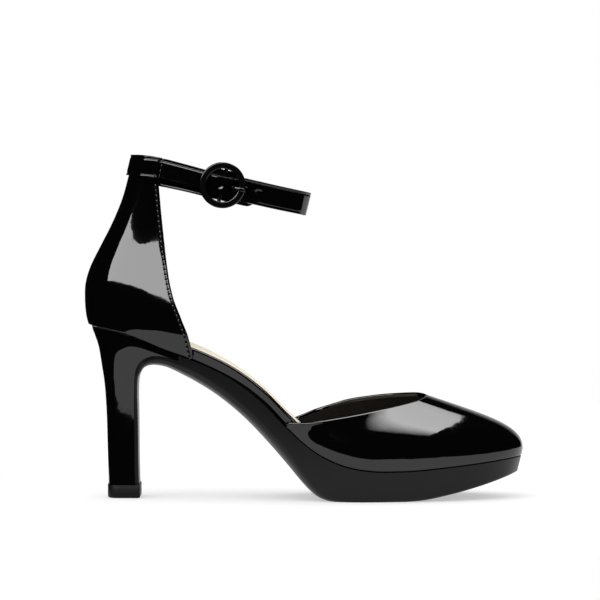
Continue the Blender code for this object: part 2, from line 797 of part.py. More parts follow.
def build_buckle_strap():
    lay = {name: smooth(BUCKLE_STRAP_SETTING, "x", name) for name in ("inward", "drop")}
    round_x = BUCKLE_STRAP_END_X - BUCKLE_STRAP_ROUND
    places = even_steps(BUCKLE_STRAP_BACK_X, round_x, BUCKLE_STRAP_STEPS)
    places += list(reversed(end_steps(BUCKLE_STRAP_END_X, round_x, BUCKLE_STRAP_END_STEPS)))
    route = []
    widths = []
    for x in places:
        ahead = outer_strap_point(x + ROUTE_STEP) - outer_strap_point(x - ROUTE_STEP)
        inward = Vector((-ahead.y, ahead.x)).normalized()
        route.append(outer_strap_point(x) + inward * lay["inward"](x))
        end_share = min(1.0, (BUCKLE_STRAP_END_X - x) / BUCKLE_STRAP_ROUND)
        widths.append(STRAP_WIDTH * round_end(end_share, CIRCLE))
    drops = [lay["drop"](x) for x in places]
    band("buckle_strap", route, widths, drops, BUCKLE_STRAP_THICKNESS, PATENT)


def build_sleeve():
    """The hollow fold that rounds the top of the counter and holds both ends of the strap."""
    side = [mix(MOUTH_X, COLLAR_BACK_X, math.sin(angle)) for angle in arc_steps(SLEEVE_STEPS)]
    plan = [Vector((x, -collar_half(x))) for x in side]
    plan += [Vector((point.x, -point.y)) for point in reversed(plan[:-1])]
    high = 0.5 * SLEEVE_HEIGHT
    deep = 0.5 * SLEEVE_DEPTH
    quarter = []
    for angle in arc_steps(SLEEVE_ROUND_STEPS):
        out = deep - SLEEVE_ROUND * (1 - math.cos(angle))
        up = high - SLEEVE_ROUND * (1 - math.sin(angle))
        quarter.append((out, up))
    section = quarter + [(-out, up) for out, up in reversed(quarter)]
    section += [(-out, -up) for out, up in quarter] + [(out, -up) for out, up in reversed(quarter)]
    rows = []
    for i, point in enumerate(plan):
        ahead = plan[min(i + 1, len(plan) - 1)] - plan[max(i - 1, 0)]
        outward = Vector((ahead.y, -ahead.x, 0.0)).normalized()
        middle = Vector((point.x, point.y, strap_line(point.x)))
        rows.append([middle - outward * out + STRAP_UP * up for out, up in section])
    shell("strap_sleeve", rows, SLEEVE_WALL, PATENT, closed=True)


def build_buckle_frame():
    """The round frame over the strap, with its bar behind the strap on two lugs."""
    middle, along, out = buckle_axes()
    profile = [
        (BUCKLE_INNER, BUCKLE_BACK),
        (BUCKLE_INNER, BUCKLE_FRONT - BUCKLE_BEVEL),
        (BUCKLE_INNER + BUCKLE_BEVEL, BUCKLE_FRONT),
        (BUCKLE_OUTER - BUCKLE_BEVEL, BUCKLE_FRONT),
        (BUCKLE_OUTER, BUCKLE_FRONT - BUCKLE_BEVEL),
        (BUCKLE_OUTER, BUCKLE_BACK),
    ]
    rings = []
    for turn in range(BUCKLE_SIDES + 1):
        angle = 2 * math.pi * turn / BUCKLE_SIDES
        ray = along * math.cos(angle) + STRAP_UP * math.sin(angle)
        rings.append([middle + ray * radius + out * up for radius, up in profile])
    builder = bmesh.new()
    join_rings(builder, rings, closed=True)
    bmesh.ops.remove_doubles(builder, verts=builder.verts, dist=WELD)
    bmesh.ops.recalc_face_normals(builder, faces=builder.faces)
    frame = finish("buckle_frame", builder, BUCKLE_BLACK)
    rail = STRAP_UP * 0.5 * (BUCKLE_INNER + BUCKLE_OUTER)
    overlap = STRAP_UP * BAR_END_SHARE * BAR_RADIUS
    behind = out * BAR_OUT
    bar_end = rail + overlap
    cut(frame, rod("bar", middle + bar_end + behind, middle - bar_end + behind, BAR_RADIUS), "UNION")
    for name, foot in (("upper_lug", middle + rail), ("lower_lug", middle - rail)):
        head = foot + out * 0.5 * (BUCKLE_BACK + BUCKLE_FRONT)
        cut(frame, rod(name, foot + behind, head, LUG_RADIUS), "UNION")


def build_buckle_prong():
    """The prong: out of the strap's hole in front of the bar, then over the front rim."""
    middle, along, out = buckle_axes()
    over_strap = 0.5 * STRAP_THICKNESS + GAP + PRONG_RADIUS
    over_rim = BUCKLE_FRONT + GAP + PRONG_RADIUS
    path = table(
        "ahead up",
        (0.0, BAR_OUT + BAR_RADIUS + GAP),
        (0.0, 0.5 * STRAP_THICKNESS),
        (PRONG_RADIUS, over_strap),
        (0.5 * BUCKLE_INNER, mix(over_strap, over_rim, PRONG_RISE_SHARE)),
        (BUCKLE_INNER - PRONG_RADIUS, over_rim),
        (PRONG_REACH, over_rim),
    )
    curve = bpy.data.curves.new("prong_path", "CURVE")
    curve.dimensions = "3D"
    line = curve.splines.new("POLY")
    line.points.add(len(path) - 1)
    for point, spot in zip(line.points, path):
        point.co = (*place(middle + along * spot.ahead + out * spot.up), 1.0)
    curve.bevel_depth = PRONG_RADIUS * MM
    curve.bevel_resolution = PRONG_ROUND_STEPS
    curve.use_fill_caps = True
    wire = bpy.data.objects.new("prong_path", curve)
    shoe.objects.link(wire)
    bpy.context.view_layer.update()
    builder = bmesh.new()
    evaluated = wire.evaluated_get(bpy.context.evaluated_depsgraph_get())
    builder.from_mesh(bpy.data.meshes.new_from_object(evaluated))
    bpy.data.objects.remove(wire)
    bmesh.ops.remove_doubles(builder, verts=builder.verts, dist=WELD)
    bmesh.ops.recalc_face_normals(builder, faces=builder.faces)
    finish("buckle_prong", builder, BUCKLE_BLACK)


def collection(name):
    made = bpy.data.collections.new(name)
    bpy.context.scene.collection.children.link(made)
    return made


for leftover in list(bpy.data.objects):
    bpy.data.objects.remove(leftover)
shoe = collection("ankle_strap_platform_pump")
cutters = collection("cutters")
build_sole()
build_heel()
build_heel_tip()
build_insole()
build_counter()
build_vamp()
build_sleeve()
build_ankle_strap()
build_buckle_strap()
build_buckle_frame()
build_buckle_prong()
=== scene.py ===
"""Looks of a black patent ankle-strap platform pump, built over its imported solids.

The shape tables follow the part's own, finer where the photo shows more. Sizes are millimetres, +X to
the toe, -Y to the outer side of the foot, +Z up, floor at z = 0.
"""
import math
from collections import namedtuple

import bmesh
import bpy
import numpy as np
from mathutils import Matrix, Vector


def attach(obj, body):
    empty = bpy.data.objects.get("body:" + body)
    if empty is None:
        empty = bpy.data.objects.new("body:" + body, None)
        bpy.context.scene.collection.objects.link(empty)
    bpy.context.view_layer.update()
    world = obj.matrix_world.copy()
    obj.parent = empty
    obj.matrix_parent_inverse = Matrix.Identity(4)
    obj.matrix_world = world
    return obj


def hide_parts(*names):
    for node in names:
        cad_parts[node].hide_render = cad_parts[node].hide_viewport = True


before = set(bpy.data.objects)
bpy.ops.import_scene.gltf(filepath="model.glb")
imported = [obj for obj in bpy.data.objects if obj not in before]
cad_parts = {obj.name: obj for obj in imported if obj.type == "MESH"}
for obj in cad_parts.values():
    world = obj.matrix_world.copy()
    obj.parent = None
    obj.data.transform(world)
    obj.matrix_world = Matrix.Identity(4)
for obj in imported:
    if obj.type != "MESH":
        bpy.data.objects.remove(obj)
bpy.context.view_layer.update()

MM = 0.001
GAP = 0.3
CIRCLE = 2.0
OUTER_SIDE = -1
INNER_SIDE = 1


def table(columns, *rows):
    """A short table whose rows are read by column name."""
    row_type = namedtuple("Row", columns)
    return [row_type(*row) for row in rows]


# Plan of the last at the feather line, between the round heel end and the round toe end
BACK_X = -111.2
HEEL_ROUND_X = -84.0
TOE_ROUND_X = 35.0
TOE_X = 112.9
HEEL_HALF = 23.4
TOE_HALF = 39.3
HEEL_ROUNDNESS = 2.2
TOE_ROUNDNESS = 2.0
PLAN = table(
    "x half_width",
    (HEEL_ROUND_X, HEEL_HALF),
    (-60, 23.4),
    (-35, 20.8),
    (-10, 27.2),
    (10, 35.0),
    (TOE_ROUND_X, TOE_HALF),
)
CENTRE_LINE = table(
    "x y",
    (BACK_X, 0.4),
    (HEEL_ROUND_X, 0.4),
    (-60, -0.2),
    (-35, -2.2),
    (-10, -2.0),
    (10, -1.2),
    (TOE_ROUND_X, -0.1),
    (60, 1.0),
    (90, 2.6),
    (TOE_X, 3.4),
)

# Side view: top of the sole, its underside, and the insole on it with the rounding of its edge
PROFILE = table(
    "x feather",
    (BACK_X, 89.1),
    (-91.9, 84.9),
    (-71.6, 76.6),
    (-51.0, 68.8),
    (-35.7, 60.7),
    (-20.4, 48.9),
    (-8.2, 36.3),
    (5.2, 25.2),
    (18.7, 18.5),
    (33.2, 15.6),
    (49.7, 15.3),
    (77.0, 17.3),
    (TOE_X, 21.2),
)
FLAT_BACK_X = 16.0
FLAT_FRONT_X = 51.0
UNDERSIDE = table(
    "x z draft round_across round_up inset",
    (-64.0, 64.7, 0.0, 12.0, 4.5, 1.0),
    (-57.0, 60.9, 0.0, 13.0, 5.5, 1.6),
    (-45.8, 54.0, 0.0, 13.0, 6.0, 1.6),
    (-30.5, 41.5, 0.0, 13.0, 7.0, 1.6),
    (-18.3, 28.9, 0.0, 13.0, 8.0, 1.6),
    (-8.1, 17.4, 0.2, 12.0, 8.5, 1.4),
    (0.0, 8.2, 0.5, 9.0, 7.0, 1.1),
    (6.2, 2.8, 0.8, 6.0, 5.0, 0.8),
    (12.4, 0.4, 1.0, 4.0, 3.5, 0.6),
    (FLAT_BACK_X, 0.0, 1.2, 2.6, 2.4, 0.5),
    (FLAT_FRONT_X, 0.0, 1.4, 2.2, 2.0, 0.5),
    (60.0, 0.6, 1.5, 2.0, 1.8, 0.5),
    (74.0, 3.1, 1.6, 2.0, 1.6, 0.5),
    (92.0, 7.4, 1.8, 2.0, 1.4, 0.5),
    (TOE_X, 13.3, 2.2, 2.0, 1.2, 0.5),
)
SOLE_TOE_LEAN = 2.0
SOLE_TOE_LEAN_POWER = 4
DRAFT_LIMIT = 0.3
ROUND_ACROSS_LIMIT = 0.6
ROUND_UP_LIMIT = 0.9
INSOLE = table(
    "x thickness edge_round inner_drop",
    (BACK_X, 4.0, 1.0, 0.0),
    (-80.0, 5.5, 0.8, 0.0),
    (-57.0, 6.0, 0.7, 0.0),
    (-35.0, 6.5, 0.8, 0.7),
    (-20.0, 7.2, 1.1, 1.5),
    (-8.0, 7.9, 1.4, 2.3),
    (8.0, 6.2, 1.4, 1.7),
    (30.0, 3.4, 1.2, 0.0),
    (60.0, 2.6, 1.0, 0.0),
    (TOE_X, 2.6, 1.0, 0.0),
)
VAMP_WALL = 1.8
COUNTER_WALL = 1.7
INSOLE_INSET = VAMP_WALL + 2 * GAP
INSOLE_UNDERCUT = 1.2
SOCK_INSET = 0.9
SOCK_THICKNESS = 0.5
SOCK_EDGE_ROUND = 0.3
SOCK_GROOVE_IN = 1.5
SOCK_GROOVE_DEEP = 0.3
SOCK_GROOVE_HALF = 0.35
PAD_ROUND_LIMIT = 0.4

# Breast of the heel, from the tip up to the lip under the waist, and the sole's flap that lies on it
BREAST = table(
    "level front_x front_z flap_x flap_z flap_half round_across round_up",
    (0, -87.1, 7.4, -84.9, 7.4, 10.0, 0.5, 0.5),
    (1, -87.4, 20.0, -85.2, 20.0, 10.1, 0.5, 0.5),
    (2, -87.6, 40.0, -85.4, 40.0, 10.5, 0.5, 0.5),
    (3, -87.5, 54.0, -85.7, 54.0, 11.8, 0.5, 0.5),
    (4, -87.2, 62.0, -85.3, 61.5, 13.6, 0.6, 0.6),
    (5, -85.9, 67.6, -83.7, 65.4, 16.0, 1.5, 1.0),
    (6, -83.2, 71.4, -81.2, 67.9, 18.2, 5.0, 1.8),
    (7, -77.8, 73.8, -77.0, 68.8, 20.4, 8.0, 3.0),
    (8, -71.0, 73.4, -70.8, 67.7, 21.7, 11.0, 4.0),
    (9, -64.0, 71.6, -64.0, 64.7, 22.4, 12.0, 4.5),
    (10, -64.0, 74.0, -64.0, 64.7, 22.4, 12.0, 4.5),
)
FLAP_TOP_LEVEL = 9
# Back and sides of the heel at the same levels, the last one on the seat
HEEL_BACK = table(
    "level x z half round_share squareness bow",
    (0, -101.0, 7.4, 11.9, 0.45, 3.2, 0.0),
    (1, -101.4, 21.0, 11.6, 0.46, 3.1, 0.0),
    (2, -101.9, 42.0, 12.1, 0.48, 3.0, 0.0),
    (3, -102.9, 58.0, 13.9, 0.50, 2.8, 0.0),
    (4, -104.4, 68.0, 16.2, 0.52, 2.6, 0.0),
    (5, -105.4, 74.5, 18.4, 0.54, 2.5, 0.02),
    (6, -106.4, 79.2, 20.3, 0.56, 2.4, 0.1),
    (7, -107.6, 82.4, 21.5, 0.58, 2.3, 0.22),
    (8, -108.6, 85.0, 22.3, 0.60, 2.25, 0.4),
    (9, -109.4, 86.9, 22.4, 0.53, 2.2, 0.6),
    (10, -109.6, 88.5, 22.3, 0.535, 2.2, 1.0),
)
TIP_BACK_X = -101.3
TIP_FRONT_X = -84.4
TIP_HALF = 11.2
TIP_TOP = 7.1
TIP_EDGE = 0.9
TIP_RIM = 0.4
SEAM_LAP = 0.2

# Counter, from the feather line up to the sleeve: back edge, outer front edge, half-width
COUNTER = table(
    "level back_x back_z front_x front_z half round_share front_out",
    (0.00, BACK_X, 89.1, -56.3, 70.9, HEEL_HALF, 0.496, 0.0),
    (0.06, -112.2, 92.0, -57.6, 76.5, 25.5, 0.60, 0.5),
    (0.12, -112.7, 95.0, -58.9, 82.2, 26.7, 0.72, 1.0),
    (0.25, -113.2, 102.0, -62.6, 92.5, 27.5, 0.87, 1.3),
    (0.40, -112.8, 110.5, -66.8, 104.0, 26.4, 0.90, 0.8),
    (0.55, -110.0, 119.5, -69.3, 115.9, 23.9, 0.92, 0.1),
    (0.70, -104.6, 130.2, -71.0, 129.0, 20.9, 0.94, -0.2),
    (0.85, -97.7, 144.0, -72.8, 145.0, 18.8, 0.95, 0.0),
    (0.925, -93.5, 154.3, -73.7, 154.3, 18.1, 0.95, 0.0),
    (1.00, -90.5, 165.5, -74.5, 163.7, 17.4, 0.95, 0.0),
)
COUNTER_TUCK = 1.6
COUNTER_FOOT_LEVEL = 0.013
INNER_FRONT_CUT_BACK = 3.2
SEAT_FADE_POWER = 3
FRONT_OUT_POWER = 2

# Vamp topline, from the outer back tip round the throat to the inner back tip
TOPLINE = table(
    "share x y z",
    (0.00, -8.6, -31.0, 39.4),
    (0.05, -0.6, -34.4, 39.9),
    (0.125, 13.9, -35.0, 42.0),
    (0.22, 32.2, -29.2, 45.4),
    (0.33, 50.7, -20.5, 49.0),
    (0.42, 60.0, -9.8, 51.3),
    (0.50, 62.8, 0.6, 52.9),
    (0.57, 58.5, 9.5, 53.7),
    (0.65, 47.0, 19.0, 52.9),
    (0.76, 33.2, 25.0, 51.2),
    (0.86, 19.2, 28.6, 48.2),
    (0.94, 5.1, 30.2, 43.0),
    (1.00, -8.0, 25.7, 39.0),
)
SIDE_SHARE = 0.25
RIB_UP = 0.46
RIB_FLARE = 2.2
RIB_FLARE_SHARE = 0.05
RIB_FLARE_GROWTH = 0.005
RIB_TOP_IN = 0.63
RIB_TOP_UP = 0.35
VAMP_LIFT = 1.0
TIP_BAND_LIMIT = 0.35

# Strap plane: the straps stand on edge along this direction, which leans with the strap's slope
STRAP_UP = Vector((0.2366, 0.0, 0.9716))
STRAP_LINE = table(
    "x z",
    (-92.0, 171.8),
    (-75.0, 169.9),
    (-63.0, 166.9),
    (-51.0, 163.6),
    (-40.8, 160.8),
    (-19.7, 155.6),
    (3.0, 150.7),
)
MOUTH_X = -75.0
COLLAR_BACK_X = -88.4
COLLAR_HALF = 16.6
COLLAR_ROUNDNESS = 2.1
SLEEVE_HEIGHT = 10.8
SLEEVE_WALL = 0.9
SLEEVE_DEPTH = 4.2
SLEEVE_ROUND = 0.25
STRAP_WIDTH = 10.4
FRONT_STRAP_WIDTH = 12.1
FRONT_STRAP_RISE = 0.28
WIDEN_BACK_X = -42.0
WIDEN_FRONT_X = -31.0
STRAP_THICKNESS = 1.8
STRAP_EDGE_ROUND = 0.16
TAB_LENGTH = 8.0
TAB_WIDTH = 6.6
TAB_STEP = 1.2
TAB_STEP_POWER = 0.5
STRAP_ROUTE = table(
    "x y",
    (MOUTH_X, 16.6),
    (-68.0, 18.7),
    (-56.0, 22.4),
    (-41.5, 24.2),
    (-27.0, 22.0),
    (-12.0, 15.2),
    (-3.2, 8.6),
    (0.6, 3.6),
)
STRAP_FRONT_X = 1.5
BUCKLE_STRAP_BACK_X = -82.0
BUCKLE_STRAP_END_X = -22.6
BUCKLE_STRAP_ROUND = 4.5
BUCKLE_STRAP_THICKNESS = 1.6
BUCKLE_STRAP_SETTING = table(
    "x inward drop",
    (-92.0, 3.4, 3.9),
    (-74.0, 3.4, 3.9),
    (-60.0, 4.0, 3.2),
    (-41.5, 4.3, 2.7),
    (-20.0, 4.3, 2.3),
)
# The buckle strap is folded round the bar, and its fold stands higher inside the buckle
FOLD_RISE = 5.4
FOLD_HALF = 8.6
FOLD_SQUARE = 6
# Stitched channel near the edges of straps and sleeve
CHANNEL_IN = 1.25
CHANNEL_DEEP = 0.3
LOWER_CHANNEL_DEEP = 0.032
UNDER_CHANNEL_DEEP = 0.05
CHANNEL_HALF = 0.3
CHANNEL_FLANK = 0.42

# Buckle, laid out from its centre on the outer run of the strap
BUCKLE_X = -41.5
BUCKLE_OUTER = 11.75
BUCKLE_INNER = 8.4
BUCKLE_BACK = 0.5 * STRAP_THICKNESS + GAP
BUCKLE_HIGH = 2.4
BUCKLE_FRONT = BUCKLE_BACK + BUCKLE_HIGH
BUCKLE_EDGE = 0.6
BAR_RADIUS = 1.0
BAR_OUT = -0.5 * STRAP_THICKNESS - GAP - BAR_RADIUS
HOLE_RADIUS = 1.6
HOLE_SPACING = 6.85
PRONG_HOLE = 5.15
SPARE_HOLES = (-1, 1, 2)
HOLE_RIM_DEEP = 0.25
HOLE_RIM_HALF = 0.5
PRONG_RADIUS = 0.9
PRONG_REACH = 11.5
PRONG_RISE_SHARE = 0.4
PRONG_TIP_SHARE = 0.8
PRONG_SQUARE = 0.5

# Stitching; the counter's row is tried in small steps of its level, for stitches an even pitch apart
STITCH_PITCH = 2.6
STITCH_LENGTH = 1.9
STITCH_RADIUS = 0.26
STITCH_SIDES = 8
TACK_X = -72.9
TACK_STITCHES = 4
COUNTER_STITCH_IN = 1.7
COUNTER_STITCH_PROUD = 0.3
COUNTER_ROW_START = 0.01
COUNTER_ROW_END = 0.99
COUNTER_ROW_TRIALS = 1500
COUNTER_LEVEL_STEP = 0.004
BEHIND_TIMES = 3
COUNTER_CHANNEL_HALF = 0.45
COUNTER_CHANNEL_DEEP = 0.01
COUNTER_STITCH_RADIUS = 0.52
COUNTER_STITCH_LENGTH = 1.3
# Size and sinking of the dark blobs of painted shade in the counter's needle holes
HOLE_SHADE_RADIUS = 0.8
HOLE_SHADE_LENGTH = 1.5
HOLE_SHADE_SUNK = 0.42

# Edges of the upper: full round, the outer leather turned in as far as a lip on the lining
LIP_IN = 1.6
LIP_HALF = 0.3
LIP_HIGH = 0.3
EDGE_BAND = 3.4
EDGE_BAND_STEPS = 18
RIM_STEPS = 10

# Fineness of the meshes
RELAX_ROUNDS = 24
RELAX_PULL = 0.5
EDGE_ANGLE = math.radians(50)
ROD_SIDES = 24
END_FIRST_STEP = 0.15
SOLE_ARC_STEPS = 10
SOLE_FLAP_STEPS = 70
SOLE_STATIONS = 150
SOLE_TOE_STATIONS = 50
HEEL_ROWS = 110
HEEL_ROUND_STEPS = 26
HEEL_SIDE_STEPS = 16
TIP_ARC_STEPS = 5
PAD_HEEL_STATIONS = 30
PAD_MIDDLE_STATIONS = 120
PAD_TOE_STATIONS = 36
PAD_ARC_STEPS = 8
PAD_SIDE_STEPS = 8
SOCK_TOP_STEPS = 14
COUNTER_ROWS = 110
COUNTER_ROUND_STEPS = 60
VAMP_SIDE_STEPS = 44
VAMP_TOE_STEPS = 150
VAMP_ROWS = 70
SLEEVE_STEPS = 44
SLEEVE_FACE_STEPS = 64
STRAP_STEPS = 22
STRAP_FACE_STEPS = 64
STRAP_BACK_STEPS = 14
BUCKLE_STRAP_STEPS = 90
BUCKLE_STRAP_END_STEPS = 16
ROUTE_STEP = 0.5
BUCKLE_STEPS = 120
BUCKLE_ARC_STEPS = 8
PRONG_STEPS = 10

# Patent film: width and height of its slow waves and of its peel, and the haze over its gloss
PATENT_SWELL = 14.0
PATENT_SWELL_HIGH = 0.16
PATENT_PEEL = 5.0
PATENT_PEEL_HIGH = 0.025
PATENT_HAZE = 9.0
HAZE_LOW = 0.3
HAZE_HIGH = 0.7
CLEAR_ROUGHNESS = 0.03
MEAN_ROUGHNESS = 0.05
HAZY_ROUGHNESS = 0.07

# Studio: a pale lit board, softboxes to the left, overhead and behind, and even light from all round
FLOOR_CORNERS = (
    (-165, -150), (400, -470), (440, -60), (580, 130), (900, 130), (900, 800), (-165, 800),
)
BOARD_GLOW = 0.45
SOFTBOXES = table(
    "name place aim size radiance fade far_share lights_matte seen_in_gloss",
    ("left_softbox", (-289, -354, 407), (-43, -38, 122), (582, 268), 8.2, 0.0, 1.0, False, True),
    ("overhead_strip", (165, 170, 842), (165, 171, 0), (540, 1140), 9.5, 0.22, 0.3, False, True),
    ("back_panel", (330, 760, 240), (330, 0, 240), (640, 560), 1.4, 0.02, 0.0, False, True),
    ("overhead_fill", (-200, -300, 1200), (0, 0, 0), (900, 900), 1.2, 0.0, 1.0, True, False),
)
CAMERA_AWAY = 2000.0
CAMERA_HIGH = 165.0
CAMERA_X = -2.07
AIM_HIGH = 101.7
PIXELS_PER_MM = 1.938
FRAME_PIXELS = 600


def cubic(first, last, leaving, arriving, share):
    """Value or point on the cubic between two, with its slopes there given over the whole step."""
    rest = 1 - share
    start = (1 + 2 * share) * rest ** 2 * first + share * rest ** 2 * leaving
    return start + share ** 2 * (1 + 2 * rest) * last - share ** 2 * rest * arriving


def smooth(rows, key, value, flat_ends=False):
    """The smooth curve through two columns of a table, as a function of the first."""
    keys = [getattr(row, key) for row in rows]
    values = [getattr(row, value) for row in rows]
    rises = [(values[i + 1] - values[i]) / (keys[i + 1] - keys[i]) for i in range(len(keys) - 1)]
    slopes = [0.0 if flat_ends else rises[0]]
    for i in range(1, len(keys) - 1):
        before = keys[i] - keys[i - 1]
        after = keys[i + 1] - keys[i]
        slopes.append((rises[i - 1] * after + rises[i] * before) / (before + after))
    slopes.append(0.0 if flat_ends else rises[-1])

    def at(place):
        place = min(max(place, keys[0]), keys[-1])
        i = max(j for j in range(len(keys) - 1) if keys[j] <= place)
        step = keys[i + 1] - keys[i]
        share = (place - keys[i]) / step
        return cubic(values[i], values[i + 1], step * slopes[i], step * slopes[i + 1], share)

    return at


def columns(rows, key):
    """The smooth curves of all a table's other columns, by name."""
    return {name: smooth(rows, key, name) for name in rows[0]._fields if name != key}


def row_at(curves, place):
    """The values of all a table's curves at one place, by name."""
    return {name: curve(place) for name, curve in curves.items()}


def clamp(share):
    return min(max(share, 0.0), 1.0)


def signed_power(value, power):
    return math.copysign(abs(value) ** power, value)


def heading(points, i):
    """Step at a point of a line, from the point before it to the one after."""
    return points[min(i + 1, len(points) - 1)] - points[max(i - 1, 0)]


def mix(first, second, share):
    return first + (second - first) * share


def even_steps(first, last, count):
    return [mix(first, last, i / (count - 1)) for i in range(count)]


def arc_steps(count):
    return [0.5 * math.pi * i / count for i in range(count + 1)]


def round_corner(across, up, round_across, round_up, steps):
    """Points round a corner, from its side to its end."""
    points = []
    for angle in arc_steps(steps):
        back = round_across * (1 - math.cos(angle))
        points.append((across - back, up - round_up * (1 - math.sin(angle))))
    return points


def dent(distance, half):
    """A soft trough, 1 in its middle and fading over its half-width."""
    return np.exp(-((distance / half) ** 2))


feather = smooth(PROFILE, "x", "feather")
centre = smooth(CENTRE_LINE, "x", "y")
body_half = smooth(PLAN, "x", "half_width", flat_ends=True)
insole_shape = columns(INSOLE, "x")
under_shape = columns(UNDERSIDE, "x")
strap_line = smooth(STRAP_LINE, "x", "z")
strap_route = smooth(STRAP_ROUTE, "x", "y")
counter_shape = columns(COUNTER, "level")
topline_shape = columns(TOPLINE, "share")
breast_shape = columns(BREAST, "level")
heel_shape = columns(HEEL_BACK, "level")
buckle_strap_lay = columns(BUCKLE_STRAP_SETTING, "x")


def round_end(share, roundness):
    """Width share of a superellipse end, 0 at its tip and 1 from where it joins the straight side."""
    return max(0.0, 1.0 - (1.0 - min(1.0, share)) ** roundness) ** (1.0 / roundness)


def half_width(x):
    """Half the last's width at the feather line."""
    if x < HEEL_ROUND_X:
        return HEEL_HALF * round_end((x - BACK_X) / (HEEL_ROUND_X - BACK_X), HEEL_ROUNDNESS)
    if x > TOE_ROUND_X:
        return TOE_HALF * round_end((TOE_X - x) / (TOE_X - TOE_ROUND_X), TOE_ROUNDNESS)
    return body_half(x)


def inset_half(x, inset):
    """Half-width of the plan drawn in by an even inset, for x on the drawn-in length."""
    whole = mix(BACK_X, TOE_X, (x - BACK_X - inset) / (TOE_X - BACK_X - 2 * inset))
    local = body_half(min(max(whole, HEEL_ROUND_X), TOE_ROUND_X))
    return half_width(whole) * (1 - inset / local)


def end_steps(tip, joint, count):
    """Stations from a round end's tip towards its joint, close together at the tip."""
    angles = [0.5 * math.pi * (i + END_FIRST_STEP) / count for i in range(count)]
    return [mix(tip, joint, 1 - math.cos(angle)) for angle in angles]


def grid(builder, rows, closed=False):
    """Quads between neighbouring rows of points in millimetres; returns the rows' vertices."""
    vertices = [[builder.verts.new(Vector(point) * MM) for point in row] for row in rows]
    count = len(rows[0])
    for first, second in zip(vertices, vertices[1:]):
        for i in range(count if closed else count - 1):
            j = (i + 1) % count
            builder.faces.new((first[i], first[j], second[j], second[i]))
    return vertices


def relax(builder, pinned):
    """Evens out the free vertices, so that gloss runs over the surface without kinks."""
    free = [vertex for vertex in builder.verts if vertex not in pinned]
    for _ in range(RELAX_ROUNDS):
        bmesh.ops.smooth_vert(
            builder, verts=free, factor=RELAX_PULL, use_axis_x=True, use_axis_y=True, use_axis_z=True
        )


def new_object(name, builder):
    """An object in the scene with a bmesh as its mesh."""
    mesh = bpy.data.meshes.new(name)
    builder.to_mesh(mesh)
    builder.free()
    made = bpy.data.objects.new(name, mesh)
    bpy.context.collection.objects.link(made)
    return made


def finish(name, builder, looks, solid=None, edges=False):
    """Turns a bmesh into a smooth piece that rides with the shoe and may stand for a solid."""
    bmesh.ops.recalc_face_normals(builder, faces=builder.faces)
    piece = new_object(name, builder)
    piece.data.shade_smooth()
    if edges:
        piece.data.set_sharp_from_angle(angle=EDGE_ANGLE)
    for look in looks:
        piece.data.materials.append(look)
    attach(piece, "root")
    if solid:
        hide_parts(solid)
    return piece


def loft(name, rings, looks, solid):
    """A closed body through rings of points, with flat ends."""
    builder = bmesh.new()
    vertices = grid(builder, rings, closed=True)
    builder.faces.new(vertices[0])
    builder.faces.new(vertices[-1])
    return finish(name, builder, looks, solid, edges=True)


def outward(points):
    """Unit normals of a grid whose rows go upwards and whose columns go round the shoe."""
    normal = np.cross(np.gradient(points, axis=1), np.gradient(points, axis=0))
    return normal / np.linalg.norm(normal, axis=2, keepdims=True)


def even_out(points):
    """Evens out a grid along its normals, so that gloss runs over it without kinks."""
    inside = (slice(1, -1), slice(1, -1))
    for _ in range(RELAX_ROUNDS):
        normal = outward(points)[inside]
        mean = 0.25 * (points[:-2, 1:-1] + points[2:, 1:-1] + points[1:-1, :-2] + points[1:-1, 2:])
        shift = np.sum((mean - points[inside]) * normal, axis=2, keepdims=True)
        points[inside] += RELAX_PULL * shift * normal


def border(rows):
    """What lies along a grid's edge, once round."""
    right = [row[-1] for row in rows[1:-1]]
    left = [row[0] for row in rows[1:-1]]
    return list(rows[0]) + right + list(reversed(rows[-1])) + left[::-1]


def edge_ways(points, normal):
    """Unit directions out over the edge of a grid, in the surface."""
    ways = np.zeros_like(points)
    whole = slice(None)
    edges = [((0,), (1,)), ((-1,), (-2,))]
    edges += [((whole, 0), (whole, 1)), ((whole, -1), (whole, -2))]
    for edge, next_in in edges:
        step = points[edge] - points[next_in]
        ways[edge] += step / np.linalg.norm(step, axis=1, keepdims=True)
    ways -= normal * np.sum(ways * normal, axis=2, keepdims=True)
    return ways


def shell(name, rows, wall, looks, solid, edge_distance, relief=0.0):
    """A wall inside an open surface with round edges, its outer leather turned in over the lining.

    The distance of each point from the folded edge places the turned-in leather; the relief lifts or
    sinks the outer face.
    """
    points = np.array(rows, dtype=float)
    even_out(points)
    normal = outward(points)
    lip = LIP_HIGH * dent(edge_distance - LIP_IN, LIP_HALF)
    inner = points - normal * (wall + lip)[..., None]
    outer = points + normal * np.broadcast_to(relief, edge_distance.shape)[..., None]
    builder = bmesh.new()
    outer_vertices = grid(builder, outer)
    first = len(builder.faces)
    inner_vertices = grid(builder, inner)
    builder.faces.ensure_lookup_table()
    steps = points.shape[1] - 1
    for number in range(first, len(builder.faces)):
        i, j = divmod(number - first, steps)
        if edge_distance[i, j] > LIP_IN + LIP_HALF:
            builder.faces[number].material_index = 1
    ways = edge_ways(points, normal)
    frames = list(zip(border(outer), border(inner), border(normal), border(ways)))
    loops = [border(outer_vertices)]
    for angle in even_steps(0.0, math.pi, RIM_STEPS + 1)[1:-1]:
        loop = []
        for out_point, in_point, out, way in frames:
            way = way / np.linalg.norm(way)
            half = 0.5 * np.linalg.norm(out_point - in_point)
            middle = 0.5 * (out_point + in_point)
            spot = middle + half * (out * math.cos(angle) + way * math.sin(angle))
            loop.append(builder.verts.new(Vector(spot) * MM))
        loops.append(loop)
    loops.append(border(inner_vertices))
    for loop, after in zip(loops, loops[1:]):
        for i in range(len(loop)):
            j = (i + 1) % len(loop)
            builder.faces.new((loop[i], loop[j], after[j], after[i]))
    finish(name, builder, looks, solid)


